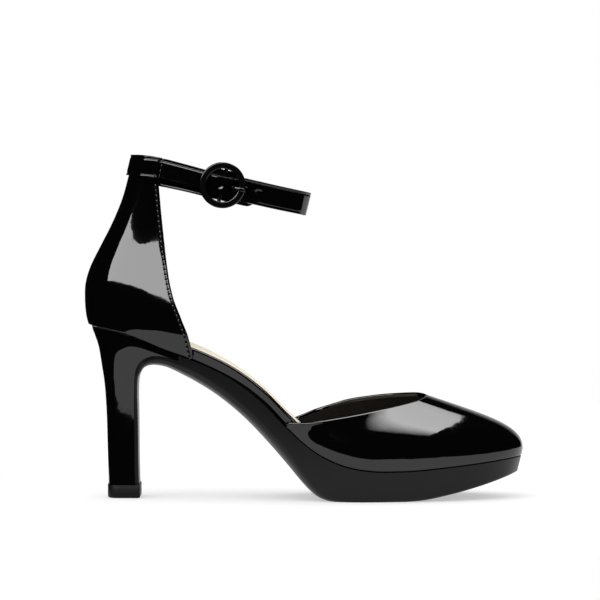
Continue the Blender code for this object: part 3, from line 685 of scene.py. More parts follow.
def spaced(items, place):
    """Those of the items along a row whose places are a stitch apart."""
    kept = []
    for item in items:
        if not kept or (place(item) - place(kept[-1])).length >= STITCH_PITCH:
            kept.append(item)
    return kept


def stitches(name, spots, look, radius=STITCH_RADIUS, length=STITCH_LENGTH):
    """Stitches, or dark blobs of painted shade for needle holes, along a row; each spot is a point, the
    row's direction and the way out.
    """
    builder = bmesh.new()
    for point, along, out in spots:
        along = along.normalized()
        across = out.cross(along).normalized()
        up = along.cross(across)
        turn = Matrix((along, across, up)).transposed().to_4x4()
        turn.translation = point * MM
        size = Matrix.Diagonal((0.5 * length * MM, radius * MM, radius * MM, 1.0))
        bmesh.ops.create_uvsphere(
            builder, u_segments=STITCH_SIDES, v_segments=STITCH_SIDES, radius=1.0, matrix=turn @ size
        )
    finish(name, builder, (look,))


# Materials


def linear(hex_colour):
    """A colour written as sRGB hex, as linear red, green, blue and alpha."""
    colour = []
    for i in (1, 3, 5):
        share = int(hex_colour[i:i + 2], 16) / 255
        colour.append(share / 12.92 if share <= 0.04045 else ((share + 0.055) / 1.055) ** 2.4)
    return colour + [1.0]


def node(tree, kind, sockets=None, **settings):
    """Adds a node with its settings; a socket gets a value, or is linked to another node's output."""
    made = tree.nodes.new(kind)
    for name, value in settings.items():
        setattr(made, name, value)
    for name, value in (sockets or {}).items():
        if isinstance(value, bpy.types.NodeSocket):
            tree.links.new(value, made.inputs[name])
        else:
            made.inputs[name].default_value = value
    return made


def noise(tree, place, size, detail):
    """A noise whose features have a size in millimetres."""
    sockets = {"Vector": place, "Scale": 1.0 / (size * MM), "Detail": detail}
    return node(tree, "ShaderNodeTexNoise", sockets).outputs["Fac"]


def bumps(tree, height, high, **below):
    """The normal over bumps of a height in millimetres, on the normal below them if there is one."""
    sockets = {"Height": height, "Strength": 1.0, "Distance": high * MM}
    return node(tree, "ShaderNodeBump", sockets | below).outputs["Normal"]


def material(name, colour, roughness, ior):
    """A material with its shader set, and its tree and object coordinates to build on."""
    made = bpy.data.materials.new(name)
    made.use_nodes = True
    tree = made.node_tree
    shader = tree.nodes["Principled BSDF"]
    shader.inputs["Base Color"].default_value = linear(colour)
    shader.inputs["Roughness"].default_value = roughness
    shader.inputs["IOR"].default_value = ior
    place = node(tree, "ShaderNodeTexCoord").outputs["Object"]
    return made, tree, shader, place


def patent_leather():
    """Black split leather under a poured film: mirror gloss that swims a little over the leather below."""
    made, tree, shader, place = material("patent_leather", "#030303", MEAN_ROUGHNESS, ior=1.52)
    swell = bumps(tree, noise(tree, place, PATENT_SWELL, detail=1.0), PATENT_SWELL_HIGH)
    peel = bumps(tree, noise(tree, place, PATENT_PEEL, detail=2.0), PATENT_PEEL_HIGH, Normal=swell)
    tree.links.new(peel, shader.inputs["Normal"])
    haze = noise(tree, place, PATENT_HAZE, detail=3.0)
    gloss = node(
        tree, "ShaderNodeMapRange",
        {"Value": haze, "From Min": HAZE_LOW, "From Max": HAZE_HIGH,
         "To Min": CLEAR_ROUGHNESS, "To Max": HAZY_ROUGHNESS},
    )
    tree.links.new(gloss.outputs["Result"], shader.inputs["Roughness"])
    return made


def grained(name, colours, roughness, ior, grain, high):
    """A material with a grain of a size in millimetres: two near shades over it, and a low bump."""
    made, tree, shader, place = material(name, colours[0], roughness, ior)
    speck = noise(tree, place, grain, detail=4.0)
    shade = node(
        tree, "ShaderNodeMix",
        {"Factor": speck, "A": linear(colours[0]), "B": linear(colours[1])},
        data_type="RGBA",
    )
    tree.links.new(shade.outputs["Result"], shader.inputs["Base Color"])
    tree.links.new(bumps(tree, speck, high), shader.inputs["Normal"])
    return made


patent = patent_leather()
# Moulded rubber unit: dull black with a slight sheen on its rounded edges
sole_rubber = grained(
    "moulded_rubber", ("#080808", "#0c0c0c"), roughness=0.36, ior=1.33, grain=0.6, high=0.01
)
# Hard moulded polyurethane, a touch duller than the sole
tip_rubber = grained(
    "heel_tip_polyurethane", ("#080808", "#0c0c0c"), roughness=0.5, ior=1.25, grain=0.8, high=0.008
)
# Vegetable-tanned sheep leather, pale and dry, with fine pores
sock_leather = grained(
    "sock_sheep_leather", ("#f8ecda", "#eedfc6"), roughness=0.62, ior=1.45, grain=0.7, high=0.02
)
# Dark suede lining that drinks light
lining = grained("lining_suede", ("#0f0908", "#170f0d"), roughness=0.85, ior=1.3, grain=0.5, high=0.03)
# Bonded polyester thread, waxed, so each stitch takes a small highlight
thread = grained("polyester_thread", ("#0c0c0c", "#161616"), roughness=0.22, ior=1.7, grain=0.3, high=0.01)
# Painted shade: near-black matte blobs set into the needle holes stand in for the shade inside them
painted_hole_shade = grained(
    "needle_hole_painted_shade", ("#020202", "#050505"), roughness=0.9, ior=1.2, grain=0.4, high=0.01
)
# Stove lacquer over die-cast zinc: a deep even black that mirrors a little softly
lacquer = grained("black_lacquer", ("#060606", "#090909"), roughness=0.12, ior=1.5, grain=3.0, high=0.003)


# Sole, heel and tip


def underside(x):
    """Height of the sole's lowest line, exactly flat under the ball."""
    if FLAT_BACK_X <= x <= FLAT_FRONT_X:
        return 0.0
    return max(0.0, under_shape["z"](x))


def sole_section(top, bottom, middle, half, draft, round_across, round_up):
    """One ring of the sole between its top and bottom points in the side view."""
    depth = math.hypot(top[0] - bottom[0], top[1] - bottom[1])
    low_half = half - draft
    across = min(round_across, ROUND_ACROSS_LIMIT * low_half)
    rise = min(round_up, ROUND_UP_LIMIT * depth)
    ring = []
    for side in (OUTER_SIDE, INNER_SIDE):
        edge = [(half, 0.0)] + round_corner(low_half, depth, across, rise, SOLE_ARC_STEPS)
        if side == INNER_SIDE:
            edge.reverse()
        for out, down in edge:
            share = down / depth
            ring.append((mix(top[0], bottom[0], share), middle + side * out, mix(top[1], bottom[1], share)))
    return ring


def build_sole():
    rings = []
    for level in even_steps(0, FLAP_TOP_LEVEL, SOLE_FLAP_STEPS)[:-1]:
        row = row_at(breast_shape, level)
        rings.append(
            sole_section(
                (row["front_x"], row["front_z"]), (row["flap_x"], row["flap_z"]), centre(row["front_x"]),
                row["flap_half"], 0.0, row["round_across"], row["round_up"],
            )
        )
    lip = BREAST[FLAP_TOP_LEVEL]
    tip = TOE_X - UNDERSIDE[-1].inset
    toe = list(reversed(end_steps(tip, TOE_ROUND_X, SOLE_TOE_STATIONS)))
    for x in even_steps(lip.front_x, TOE_ROUND_X, SOLE_STATIONS) + toe:
        half = inset_half(x, under_shape["inset"](x))
        toe_share = max(0.0, (x - TOE_ROUND_X) / (TOE_X - TOE_ROUND_X))
        lean = SOLE_TOE_LEAN * toe_share ** SOLE_TOE_LEAN_POWER
        rings.append(
            sole_section(
                (x, feather(x)), (x - lean, underside(x)), centre(x), half,
                min(under_shape["draft"](x), DRAFT_LIMIT * half),
                under_shape["round_across"](x), under_shape["round_up"](x),
            )
        )
    loft("platform_sole", rings, (sole_rubber,), "sole")


def u_ring(straight, round_share, round_steps):
    """Side and depth share of each point round a U, from the inner front end to the outer one."""
    shares = straight + [round_share * (1 - math.sin(angle)) for angle in arc_steps(round_steps)]
    inner = [(INNER_SIDE, share) for share in shares[:-1]]
    return inner + [(OUTER_SIDE, share) for share in reversed(shares)]


def heel_ring(round_share):
    """The U round the heel, straight in front of its round back."""
    straight = even_steps(1.0, round_share, HEEL_SIDE_STEPS + 1)[:-1]
    return u_ring(straight, round_share, HEEL_ROUND_STEPS)


def build_heel():
    rings = []
    for level in even_steps(0, HEEL_BACK[-1].level, HEEL_ROWS):
        row = row_at(heel_shape, level)
        breast = row_at(breast_shape, level)
        depth = math.hypot(breast["front_x"] - breast["flap_x"], breast["front_z"] - breast["flap_z"])
        front_x = mix(breast["front_x"], breast["flap_x"], SEAM_LAP / depth)
        front_z = mix(breast["front_z"], breast["flap_z"], SEAM_LAP / depth)
        ring = []
        for side, share in heel_ring(row["round_share"]):
            x = mix(row["x"], front_x, share)
            chord = mix(feather(row["x"]), feather(front_x), share)
            z = mix(row["z"], front_z, share) + row["bow"] * (feather(x) - chord)
            wide = row["half"] * round_end(share / row["round_share"], row["squareness"])
            narrowing = 1.0 - row["bow"] * (1.0 - half_width(max(x, HEEL_ROUND_X)) / HEEL_HALF)
            ring.append((x, centre(x) + side * wide * narrowing, z))
        rings.append(ring)
    builder = bmesh.new()
    vertices = grid(builder, rings, closed=True)
    corners = [vertex for row in vertices for vertex in (row[0], row[-1])]
    relax(builder, set(vertices[0] + vertices[-1] + corners))
    builder.faces.new(vertices[0])
    seat = vertices[-1]
    for i in range(len(seat) // 2 - 1):
        builder.faces.new((seat[i], seat[i + 1], seat[-2 - i], seat[-1 - i]))
    middle = len(seat) // 2
    builder.faces.new(seat[middle - 1:middle + 2])
    finish("covered_heel", builder, (patent,), "heel", edges=True)


def build_heel_tip():
    shape = HEEL_BACK[0]
    levels = round_corner(0.0, 0.0, -TIP_EDGE, -TIP_EDGE, TIP_ARC_STEPS)
    levels += [(TIP_TOP - TIP_RIM, 0.0), (TIP_TOP, TIP_RIM)]
    rings = []
    for z, shrink in levels:
        ring = []
        for side, share in heel_ring(shape.round_share):
            x = mix(TIP_BACK_X + shrink, TIP_FRONT_X - shrink, share)
            wide = round_end(share / shape.round_share, shape.squareness)
            ring.append((x, centre(x) + side * (TIP_HALF - shrink) * wide, z))
        rings.append(ring)
    loft("heel_top_piece", rings, (tip_rubber,), "heel_tip")


# Insole and sock


def pad_stations(inset):
    heel = end_steps(BACK_X + inset, HEEL_ROUND_X, PAD_HEEL_STATIONS)
    middle = even_steps(HEEL_ROUND_X, TOE_ROUND_X, PAD_MIDDLE_STATIONS)
    toe = list(reversed(end_steps(TOE_X - inset, TOE_ROUND_X, PAD_TOE_STATIONS)))
    return heel + middle + toe


def insole_top(x):
    return feather(x) + GAP + insole_shape["thickness"](x)


def pad_ring(x, half, low_half, lower, upper, soft, base, groove=None):
    """One ring of a pad: undercut sides, rounded upper edges, and a groove near the edge if asked.

    The inner side lies lower by a fall that grows from the base up to the board's top.
    """
    side = []
    for share in even_steps(0.0, 1.0, PAD_SIDE_STEPS)[:-1]:
        side.append((mix(low_half, half, share), mix(lower, upper - soft, share)))
    side += round_corner(half, upper, soft, soft, PAD_ARC_STEPS)
    if groove:
        for step in even_steps(0.0, 1.0, SOCK_TOP_STEPS)[1:]:
            inward = soft + step * 2 * SOCK_GROOVE_IN
            out = max(half - inward, 0.0)
            side.append((out, upper - groove * dent(inward - SOCK_GROOVE_IN, SOCK_GROOVE_HALF)))
    drop = insole_shape["inner_drop"](x) / (2 * half)
    ring = []
    for way in (INNER_SIDE, OUTER_SIDE):
        for out, z in side if way == INNER_SIDE else reversed(side):
            fall = drop * (half + way * out) * min(1.0, (z - base) / insole_shape["thickness"](x))
            ring.append((x, centre(x) + way * out, z - fall))
    return ring


def build_insole():
    rings = []
    for x in pad_stations(INSOLE_INSET):
        half = inset_half(x, INSOLE_INSET)
        soft = min(insole_shape["edge_round"](x), PAD_ROUND_LIMIT * half)
        low_half = half - min(INSOLE_UNDERCUT, PAD_ROUND_LIMIT * half)
        base = feather(x) + GAP
        rings.append(pad_ring(x, half, low_half, base, insole_top(x), soft, base))
    loft("wrapped_insole", rings, (patent,), "insole_board")


def build_sock():
    rings = []
    for x in pad_stations(INSOLE_INSET + SOCK_INSET):
        half = inset_half(x, INSOLE_INSET + SOCK_INSET)
        soft = min(SOCK_EDGE_ROUND, PAD_ROUND_LIMIT * half)
        lower = insole_top(x) + GAP
        upper = lower + SOCK_THICKNESS
        rings.append(pad_ring(x, half, half, lower, upper, soft, feather(x) + GAP, SOCK_GROOVE_DEEP))
    loft("sock_lining", rings, (sock_leather,), "sock")


# Counter


def counter_point(level, side, share):
    """Point of the counter's outer face."""
    at = row_at(counter_shape, level)
    seat = (1 - level) ** SEAT_FADE_POWER
    front_x = at["front_x"] - (INNER_FRONT_CUT_BACK if side == INNER_SIDE else 0.0)
    x = mix(at["back_x"], front_x, share)
    chord = mix(feather(at["back_x"]), feather(front_x), share)
    z = mix(at["back_z"], at["front_z"], share) + seat * (feather(x) - chord)
    wide = at["half"] * round_end(share / at["round_share"], HEEL_ROUNDNESS)
    wide += at["front_out"] * share ** FRONT_OUT_POWER
    narrowing = 1.0 - seat * (1.0 - half_width(max(x, HEEL_ROUND_X)) / HEEL_HALF)
    return Vector((x, centre(x) * (1 - level) + side * wide * narrowing, z + GAP))


def counter_depth(level):
    return counter_shape["front_x"](level) - counter_shape["back_x"](level)


def counter_ring(level):
    """The U round the counter, in even steps near its front edges."""
    band = even_steps(0.5 * COUNTER_WALL, EDGE_BAND, EDGE_BAND_STEPS)
    straight = [1 - inside / counter_depth(level) for inside in band]
    return u_ring(straight[:-1], straight[-1], COUNTER_ROUND_STEPS)


def build_counter():
    rows = []
    edge_distance = []
    for level in even_steps(COUNTER_FOOT_LEVEL, 1.0, COUNTER_ROWS):
        ring = counter_ring(level)
        rows.append([counter_point(level, side, share) for side, share in ring])
        edge_distance.append([(1 - share) * counter_depth(level) for _, share in ring])
    ups = [(point - below).normalized() for point, below in zip(rows[-1], rows[-2])]
    rows.append([point + up * COUNTER_TUCK for point, up in zip(rows[-1], ups)])
    edge_distance.append(edge_distance[-1])
    edge_distance = np.array(edge_distance)
    relief = -COUNTER_CHANNEL_DEEP * dent(edge_distance - COUNTER_STITCH_IN, COUNTER_CHANNEL_HALF)
    shell("tall_back", rows, COUNTER_WALL, (patent, lining), "counter", edge_distance, relief)
    spots = []
    holes = []
    for side in (OUTER_SIDE, INNER_SIDE):
        row = counter_stitch_spots(side)
        spots += row
        holes += hole_shade_spots(row)
    stitches("back_stitching", spots, thread, COUNTER_STITCH_RADIUS, COUNTER_STITCH_LENGTH)
    # Painted shade: dark matte blobs between the stitches stand for the shade in the needle holes
    stitches("back_needle_hole_painted_shade", holes, painted_hole_shade, HOLE_SHADE_RADIUS, HOLE_SHADE_LENGTH)


def hole_shade_spots(row):
    """Spots for the painted shade of a row's needle holes: dark blobs half-way from each stitch to the
    next, sunk into the leather.
    """
    holes = []
    for (here, along, out), (there, _, _) in zip(row, row[1:]):
        holes.append(((here + there) / 2 - out * HOLE_SHADE_SUNK, along, out))
    return holes


def counter_stitch_spots(side):
    """Stitches up one front edge of the counter, evenly spaced along it."""
    def on_line(level, times_in=1):
        return counter_point(level, side, 1 - times_in * COUNTER_STITCH_IN / counter_depth(level))

    lift = COUNTER_STITCH_PROUD * COUNTER_STITCH_RADIUS - COUNTER_CHANNEL_DEEP
    spots = []
    for level in spaced(even_steps(COUNTER_ROW_START, COUNTER_ROW_END, COUNTER_ROW_TRIALS), on_line):
        point = on_line(level)
        along = on_line(level + COUNTER_LEVEL_STEP) - on_line(level - COUNTER_LEVEL_STEP)
        out = along.cross(on_line(level, BEHIND_TIMES) - point).normalized()
        if out.y * side < 0:
            out = -out
        spots.append((point + out * lift, along, out))
    return spots


# Vamp


def vamp_foot(share):
    """Point of the vamp's lower edge, from the outer back tip round the toe to the inner back tip."""
    if share < SIDE_SHARE:
        x = mix(TOPLINE[0].x, TOE_ROUND_X, share / SIDE_SHARE)
        out = -half_width(x)
    elif share > 1 - SIDE_SHARE:
        x = mix(TOPLINE[-1].x, TOE_ROUND_X, (1 - share) / SIDE_SHARE)
        out = half_width(x)
    else:
        angle = 0.5 * math.pi * (share - 0.5) / (0.5 - SIDE_SHARE)
        power = 2 / TOE_ROUNDNESS
        x = mix(TOE_ROUND_X, TOE_X, max(0.0, math.cos(angle)) ** power)
        out = TOE_HALF * signed_power(math.sin(angle), power)
    return Vector((x, centre(x) + out, feather(x) + GAP + VAMP_LIFT))


def vamp_rib(share):
    """Points of one rib, from the feather line up and over to the topline, and their distances from it."""
    foot = vamp_foot(share)
    top = Vector([topline_shape[axis](share) for axis in "xyz"])
    reach = Vector((top.x - foot.x, top.y - foot.y, 0.0))
    inward = reach.normalized()
    if reach.dot(Vector((TOE_ROUND_X - foot.x, -foot.y, 0.0))) < 0:
        inward = -inward
    up = Vector((0.0, 0.0, top.z - foot.z))
    flare = min(RIB_FLARE + RIB_FLARE_SHARE * reach.length, RIB_FLARE_GROWTH * up.z ** 2)
    low = foot + up * RIB_UP - inward * flare
    high = top - reach * RIB_TOP_IN - up * RIB_TOP_UP
    # A cubic curve sets out and ends at three times the step to its control point
    leaving = 3 * (low - foot)
    arriving = 3 * (top - high)
    speed = arriving.length
    end = 1 - min(0.5 * VAMP_WALL / speed, TIP_BAND_LIMIT)
    band = end - min(EDGE_BAND / speed, TIP_BAND_LIMIT)
    points = []
    distances = []
    for way in even_steps(0.0, band, VAMP_ROWS)[:-1] + even_steps(band, end, EDGE_BAND_STEPS):
        points.append(cubic(foot, top, leaving, arriving, way))
        distances.append((1 - way) * speed)
    return points, distances


def build_vamp():
    outer = even_steps(0.0, SIDE_SHARE, VAMP_SIDE_STEPS)[:-1]
    toe = even_steps(SIDE_SHARE, 1 - SIDE_SHARE, VAMP_TOE_STEPS)
    inner = even_steps(1 - SIDE_SHARE, 1.0, VAMP_SIDE_STEPS)[1:]
    points, distances = zip(*[vamp_rib(share) for share in outer + toe + inner])
    rows = list(zip(*points))
    edge_distance = np.array(list(zip(*distances)))
    shell("vamp_upper", rows, VAMP_WALL, (patent, lining), "vamp", edge_distance)


# Sleeve and straps


def collar_half(x):
    """Half-width of the sleeve's middle line, which rounds the back of the ankle."""
    return COLLAR_HALF * round_end((x - COLLAR_BACK_X) / (MOUTH_X - COLLAR_BACK_X), COLLAR_ROUNDNESS)


def through(points, steps):
    """Points along a smooth curve through a few points."""
    result = []
    for i in range(len(points) - 1):
        leaving = 0.5 * heading(points, i)
        arriving = 0.5 * heading(points, i + 1)
        for step in range(steps):
            result.append(cubic(points[i], points[i + 1], leaving, arriving, step / steps))
    result.append(points[-1])
    return result


def channel(edge, deep):
    """Depth of the stitched channel at a distance from the edge, steep on the edge's side."""
    return deep * dent(edge - CHANNEL_IN, CHANNEL_HALF if edge < CHANNEL_IN else CHANNEL_FLANK)


def build_sleeve():
    """The hollow fold that rounds the top of the counter and holds both ends of the strap."""
    side = [mix(MOUTH_X, COLLAR_BACK_X, math.sin(angle)) for angle in arc_steps(SLEEVE_STEPS)]
    plan = [Vector((x, -collar_half(x))) for x in side]
    plan += [Vector((point.x, -point.y)) for point in reversed(plan[:-1])]
    high = 0.5 * SLEEVE_HEIGHT
    deep = 0.5 * SLEEVE_DEPTH
    face = []
    for up in even_steps(-high, high, SLEEVE_FACE_STEPS):
        edge = high - abs(up)
        out = deep - SLEEVE_ROUND * (1 - round_end(edge / SLEEVE_ROUND, CIRCLE))
        face.append((out - channel(edge, CHANNEL_DEEP), up))
    section = face + [(-out, up) for out, up in reversed(face)]
    rows = []
    for i, point in enumerate(plan):
        ahead = heading(plan, i)
        inward = Vector((ahead.y, -ahead.x, 0.0)).normalized()
        middle = Vector((point.x, point.y, strap_line(point.x)))
        rows.append([middle - inward * out + STRAP_UP * up for out, up in section])
    builder = bmesh.new()
    grid(builder, rows, closed=True)
    piece = finish("strap_tunnel", builder, (patent,), "strap_sleeve")
    wall = piece.modifiers.new("wall", "SOLIDIFY")
    wall.thickness = SLEEVE_WALL * MM
    wall.offset = -1.0


# One place along a strap
Stop = namedtuple("Stop", "middle along out half")


def strap_rings(route, widths, drops, thickness, upper_deep, lower_deep):
    """Rings of a strap along a plan route, and the stop of each: middle, direction, way out, half-width."""
    middles = []
    for point, drop in zip(route, drops):
        middles.append(Vector((point.x, point.y, strap_line(point.x))) - STRAP_UP * drop)
    rings = []
    stops = []
    for i, middle in enumerate(middles):
        along = heading(middles, i).normalized()
        out = along.cross(STRAP_UP).normalized()
        half = 0.5 * widths[i]
        stops.append(Stop(middle, along, out, half))
        ring = []
        for face, steps in ((1, STRAP_FACE_STEPS), (-1, STRAP_BACK_STEPS)):
            for across in even_steps(-half * face, half * face, steps + 1)[:-1]:
                edge = half - abs(across)
                rise = 0.5 * thickness * round_end(edge / STRAP_EDGE_ROUND, CIRCLE)
                deep = upper_deep if across > 0 else lower_deep
                rise = max(rise - channel(edge, deep), 0.0)
                ring.append(middle + STRAP_UP * across + out * face * rise)
        rings.append(ring)
    return rings, stops


def channel_stitches(stops, thickness, first_x):
    """Stitches along both edges of a strap's outer face, from the sleeve's mouth on."""
    sewn = [stop for stop in stops if stop.middle.x >= first_x and stop.half >= CHANNEL_IN * 2]
    rise = 0.5 * thickness - CHANNEL_DEEP
    spots = []
    for edge in (1, -1):
        for middle, along, out, half in spaced(sewn, lambda stop: stop.middle):
            spots.append((middle + STRAP_UP * edge * (half - CHANNEL_IN) + out * rise, along, out))
    return spots


def strap_side(side):
    """One side of the ankle strap's route, from its tab inside the sleeve to the front bend."""
    tab = [MOUTH_X - TAB_LENGTH, MOUTH_X - 0.5 * TAB_LENGTH]
    plan = [Vector((x, side * collar_half(x))) for x in tab]
    plan += [Vector((row.x, side * row.y)) for row in STRAP_ROUTE]
    return plan


def buckle_axes():
    """Centre of the buckle on the strap, and its directions along the strap and out of it."""
    middle = Vector((BUCKLE_X, -strap_route(BUCKLE_X), strap_line(BUCKLE_X)))
    out = Vector((0.0, -1.0, 0.0))
    return middle, STRAP_UP.cross(out), out


def add_rod(builder, first, second, radius):
    """A closed round bar between two points."""
    along = (second - first) * MM
    turn = along.to_track_quat("Z", "Y").to_matrix().to_4x4()
    turn.translation = (first + second) * 0.5 * MM
    bmesh.ops.create_cone(
        builder, cap_ends=True, segments=ROD_SIDES, radius1=radius * MM, radius2=radius * MM,
        depth=along.length, matrix=turn,
    )


def near_face(point, spot):
    """Whether a point lies on the strap's outer face close to a hole."""
    return (point - spot).length < 2 * HOLE_RADIUS and point.y < spot.y


def punch_holes(strap):
    """Cuts the punched holes through the strap."""
    middle, along, out = buckle_axes()
    builder = bmesh.new()
    spots = []
    for hole in (0,) + SPARE_HOLES:
        spot = middle + along * (PRONG_HOLE + HOLE_SPACING * hole)
        spot.y = -strap_route(spot.x)
        spots.append(spot)
        reach = out * 2 * STRAP_THICKNESS
        add_rod(builder, spot - reach, spot + reach, HOLE_RADIUS)
    punch = new_object("hole_punch", builder)
    boolean = strap.modifiers.new("holes", "BOOLEAN")
    boolean.object = punch
    boolean.operation = "DIFFERENCE"
    bpy.context.view_layer.update()
    cut = bpy.data.meshes.new_from_object(strap.evaluated_get(bpy.context.evaluated_depsgraph_get()))
    strap.modifiers.clear()
    strap.data = cut
    for vertex in cut.vertices:
        if not any(near_face(vertex.co / MM, spot) for spot in spots):
            continue
        away = min((vertex.co / MM - spot).cross(out).length for spot in spots)
        vertex.co -= out * HOLE_RIM_DEEP * dent(away - HOLE_RADIUS, HOLE_RIM_HALF) * MM
    cut.shade_smooth()
    cut.set_sharp_from_angle(angle=EDGE_ANGLE)
    bpy.data.objects.remove(punch)


def build_ankle_strap():
    outer = strap_side(OUTER_SIDE)
    inner = strap_side(INNER_SIDE)
    route = through(outer + [Vector((STRAP_FRONT_X, 0.0))] + inner[::-1], STRAP_STEPS)
    widths = []
    drops = []
    for point in route:
        share = clamp((point.x - MOUTH_X - GAP) / TAB_STEP)
        wider = clamp((point.x - WIDEN_BACK_X) / (WIDEN_FRONT_X - WIDEN_BACK_X))
        widths.append(mix(TAB_WIDTH, mix(STRAP_WIDTH, FRONT_STRAP_WIDTH, wider), share ** TAB_STEP_POWER))
        drops.append(-FRONT_STRAP_RISE * wider)
    rings, stops = strap_rings(route, widths, drops, STRAP_THICKNESS, CHANNEL_DEEP, LOWER_CHANNEL_DEEP)
    strap = loft("ankle_band", rings, (patent,), "ankle_strap")
    punch_holes(strap)
    spots = channel_stitches(stops, STRAP_THICKNESS, MOUTH_X + TAB_STEP)
    middle, _, out, half = min(stops, key=lambda stop: (stop.out.y > 0, abs(stop.middle.x - TACK_X)))
    for across in even_steps(CHANNEL_IN - half, half - CHANNEL_IN, TACK_STITCHES):
        spots.append((middle + STRAP_UP * across + out * 0.5 * STRAP_THICKNESS, STRAP_UP, out))
    stitches("ankle_band_stitching", spots, thread)


def outer_strap_point(x):
    """Plan point of the strap's middle line on the outer side, inside the sleeve too."""
    return Vector((x, -collar_half(x) if x < MOUTH_X else -strap_route(x)))


def build_buckle_strap():
    round_x = BUCKLE_STRAP_END_X - BUCKLE_STRAP_ROUND
    places = even_steps(BUCKLE_STRAP_BACK_X, round_x, BUCKLE_STRAP_STEPS)
    places += list(reversed(end_steps(BUCKLE_STRAP_END_X, round_x, BUCKLE_STRAP_END_STEPS)))
    route = []
    widths = []
    for x in places:
        ahead = outer_strap_point(x + ROUTE_STEP) - outer_strap_point(x - ROUTE_STEP)
        inward = Vector((-ahead.y, ahead.x)).normalized()
        route.append(outer_strap_point(x) + inward * buckle_strap_lay["inward"](x))
        widths.append(STRAP_WIDTH * round_end((BUCKLE_STRAP_END_X - x) / BUCKLE_STRAP_ROUND, CIRCLE))
    drops = [buckle_strap_lay["drop"](x) for x in places]
    rises = [FOLD_RISE * math.exp(-(((x - BUCKLE_X) / FOLD_HALF) ** FOLD_SQUARE)) for x in places]
    widths = [width + rise for width, rise in zip(widths, rises)]
    drops = [drop - 0.5 * rise for drop, rise in zip(drops, rises)]
    rings, stops = strap_rings(
        route, widths, drops, BUCKLE_STRAP_THICKNESS, UNDER_CHANNEL_DEEP, UNDER_CHANNEL_DEEP
    )
    loft("buckle_band", rings, (patent,), "buckle_strap")
    spots = channel_stitches(stops, BUCKLE_STRAP_THICKNESS, MOUTH_X)
    stitches("buckle_band_stitching", spots, thread)


# Buckle


def build_buckle():
    """The round frame over the strap, its rims rounded, with its bar behind the strap on two lugs."""
    middle, along, out = buckle_axes()
    rail_radius = 0.5 * (BUCKLE_INNER + BUCKLE_OUTER)
    wide = 0.5 * (BUCKLE_OUTER - BUCKLE_INNER)
    edge = round_corner(wide, BUCKLE_FRONT, BUCKLE_EDGE, BUCKLE_EDGE, BUCKLE_ARC_STEPS)
    profile = [(-wide, BUCKLE_BACK)]
    profile += [(-across, up) for across, up in edge]
    profile += list(reversed(edge))
    profile += [(wide, BUCKLE_BACK)]
    rings = []
    for turn in range(BUCKLE_STEPS + 1):
        angle = 2 * math.pi * turn / BUCKLE_STEPS
        ray = along * math.cos(angle) + STRAP_UP * math.sin(angle)
        rings.append([middle + ray * (rail_radius + across) + out * up for across, up in profile])
    builder = bmesh.new()
    grid(builder, rings, closed=True)
    bmesh.ops.remove_doubles(builder, verts=builder.verts, dist=MM * MM)
    rail = STRAP_UP * rail_radius
    behind = out * BAR_OUT
    add_rod(builder, middle + rail + behind, middle - rail + behind, BAR_RADIUS)
    for foot in (middle + rail, middle - rail):
        add_rod(builder, foot + behind - out * BAR_RADIUS, foot + out * BUCKLE_BACK * 2, BAR_RADIUS)
    finish("round_buckle", builder, (lacquer,), "buckle_frame", edges=True)


def build_prong():
    """The prong: out of the strap's hole in front of the bar, then over the front rim."""
    middle, along, out = buckle_axes()
    over_strap = 0.5 * STRAP_THICKNESS + GAP + PRONG_RADIUS
    over_rim = BUCKLE_FRONT + GAP + PRONG_RADIUS
    path = [
        (PRONG_HOLE, BAR_OUT + BAR_RADIUS + GAP),
        (PRONG_HOLE, 0.5 * STRAP_THICKNESS),
        (PRONG_HOLE + PRONG_RADIUS, mix(over_strap, over_rim, PRONG_RISE_SHARE)),
        (BUCKLE_INNER, over_rim),
        (PRONG_REACH, over_rim),
    ]
    line = through([middle + along * ahead + out * up for ahead, up in path], PRONG_STEPS)
    rings = []
    for i, point in enumerate(line):
        cross = heading(line, i).cross(STRAP_UP).normalized()
        left = len(line) - 1 - i
        radius = PRONG_RADIUS * mix(PRONG_TIP_SHARE, 1.0, round_end(left / PRONG_STEPS, CIRCLE))
        ring = []
        for side in range(ROD_SIDES):
            angle = 2 * math.pi * side / ROD_SIDES
            wide = radius * signed_power(math.cos(angle), PRONG_SQUARE)
            thick = radius * signed_power(math.sin(angle), PRONG_SQUARE)
            ring.append(point + STRAP_UP * wide + cross * thick)
        rings.append(ring)
    loft("buckle_pin", rings, (lacquer,), "buckle_prong")


build_sole()
build_heel()
build_heel_tip()
build_insole()
build_sock()
build_counter()
build_vamp()
build_sleeve()
build_ankle_strap()
build_buckle_strap()
build_buckle()
build_prong()


# Studio


def build_floor():
    builder = bmesh.new()
    builder.faces.new([builder.verts.new(Vector((x, y, 0.0)) * MM) for x, y in FLOOR_CORNERS])
    floor = new_object("floor_board", builder)
    # Opal acrylic over a light table: part of its white comes through from below and thins the shadows
    board = grained("opal_acrylic", ("#c6c6c6", "#cacaca"), roughness=0.9, ior=1.3, grain=2.0, high=0.002)
    shader = board.node_tree.nodes["Principled BSDF"]
    shader.inputs["Emission Color"].default_value = linear("#ffffff")
    shader.inputs["Emission Strength"].default_value = BOARD_GLOW
    floor.data.materials.append(board)


def aimed(name, data, place, aim):
    """A camera or light in the scene, turned from its place to what it aims at."""
    made = bpy.data.objects.new(name, data)
    bpy.context.collection.objects.link(made)
    made.location = Vector(place) * MM
    made.rotation_euler = (Vector(aim) - Vector(place)).to_track_quat("-Z", "Y").to_euler()
    return made


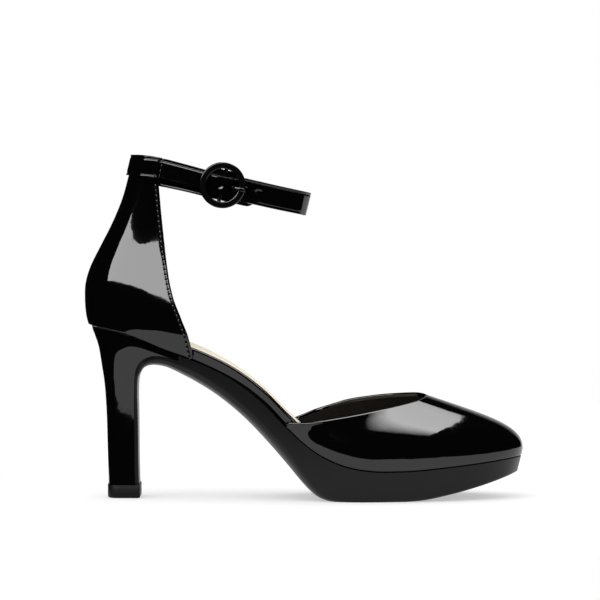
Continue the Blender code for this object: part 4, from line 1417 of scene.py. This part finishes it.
def build_softbox(box):
    """A rectangular light; one with a fade is dark at its lower edge and dimmer at its upper one."""
    lamp = bpy.data.lights.new(box.name, "AREA")
    lamp.shape = "RECTANGLE"
    lamp.size = box.size[0] * MM
    lamp.size_y = box.size[1] * MM
    lamp.energy = box.radiance * math.pi * lamp.size * lamp.size_y
    made = aimed(box.name, lamp, box.place, box.aim)
    made.visible_glossy = box.seen_in_gloss
    made.visible_diffuse = box.lights_matte
    if not box.fade:
        return
    lamp.use_nodes = True
    tree = lamp.node_tree
    spot = node(tree, "ShaderNodeNewGeometry").outputs["Parametric"]
    up = node(tree, "ShaderNodeSeparateXYZ", {"Vector": spot}).outputs["Y"]
    glow = node(tree, "ShaderNodeMapRange", {"Value": up, "From Max": box.fade}).outputs["Result"]
    fall = node(
        tree, "ShaderNodeMapRange",
        {"Value": up, "From Min": box.fade, "To Min": 1.0, "To Max": box.far_share},
    ).outputs["Result"]
    both = node(tree, "ShaderNodeMath", {0: glow, 1: fall}, operation="MULTIPLY")
    tree.links.new(both.outputs[0], tree.nodes["Emission"].inputs["Strength"])


def build_world():
    """White all round for the backdrop and for matte surfaces, dark in reflections."""
    world = bpy.data.worlds.new("studio_room")
    bpy.context.scene.world = world
    world.use_nodes = True
    tree = world.node_tree
    tree.nodes.clear()
    tent = node(tree, "ShaderNodeBackground", {"Color": linear("#ffffff")})
    room = node(tree, "ShaderNodeBackground", {"Color": linear("#101010")})
    mirrored = node(tree, "ShaderNodeLightPath").outputs["Is Glossy Ray"]
    both = node(tree, "ShaderNodeMixShader", {0: mirrored, 1: tent.outputs[0], 2: room.outputs[0]})
    node(tree, "ShaderNodeOutputWorld", {"Surface": both.outputs[0]})


def build_camera():
    lens = bpy.data.cameras.new("photo_camera")
    lens.sensor_fit = "HORIZONTAL"
    lens.lens = lens.sensor_width * CAMERA_AWAY * PIXELS_PER_MM / FRAME_PIXELS
    place = (CAMERA_X, -CAMERA_AWAY, CAMERA_HIGH)
    bpy.context.scene.camera = aimed("photo_camera", lens, place, (CAMERA_X, 0.0, AIM_HIGH))
    bpy.context.scene.view_settings.view_transform = "Standard"


build_floor()
build_world()
build_camera()
for box in SOFTBOXES:
    build_softbox(box)
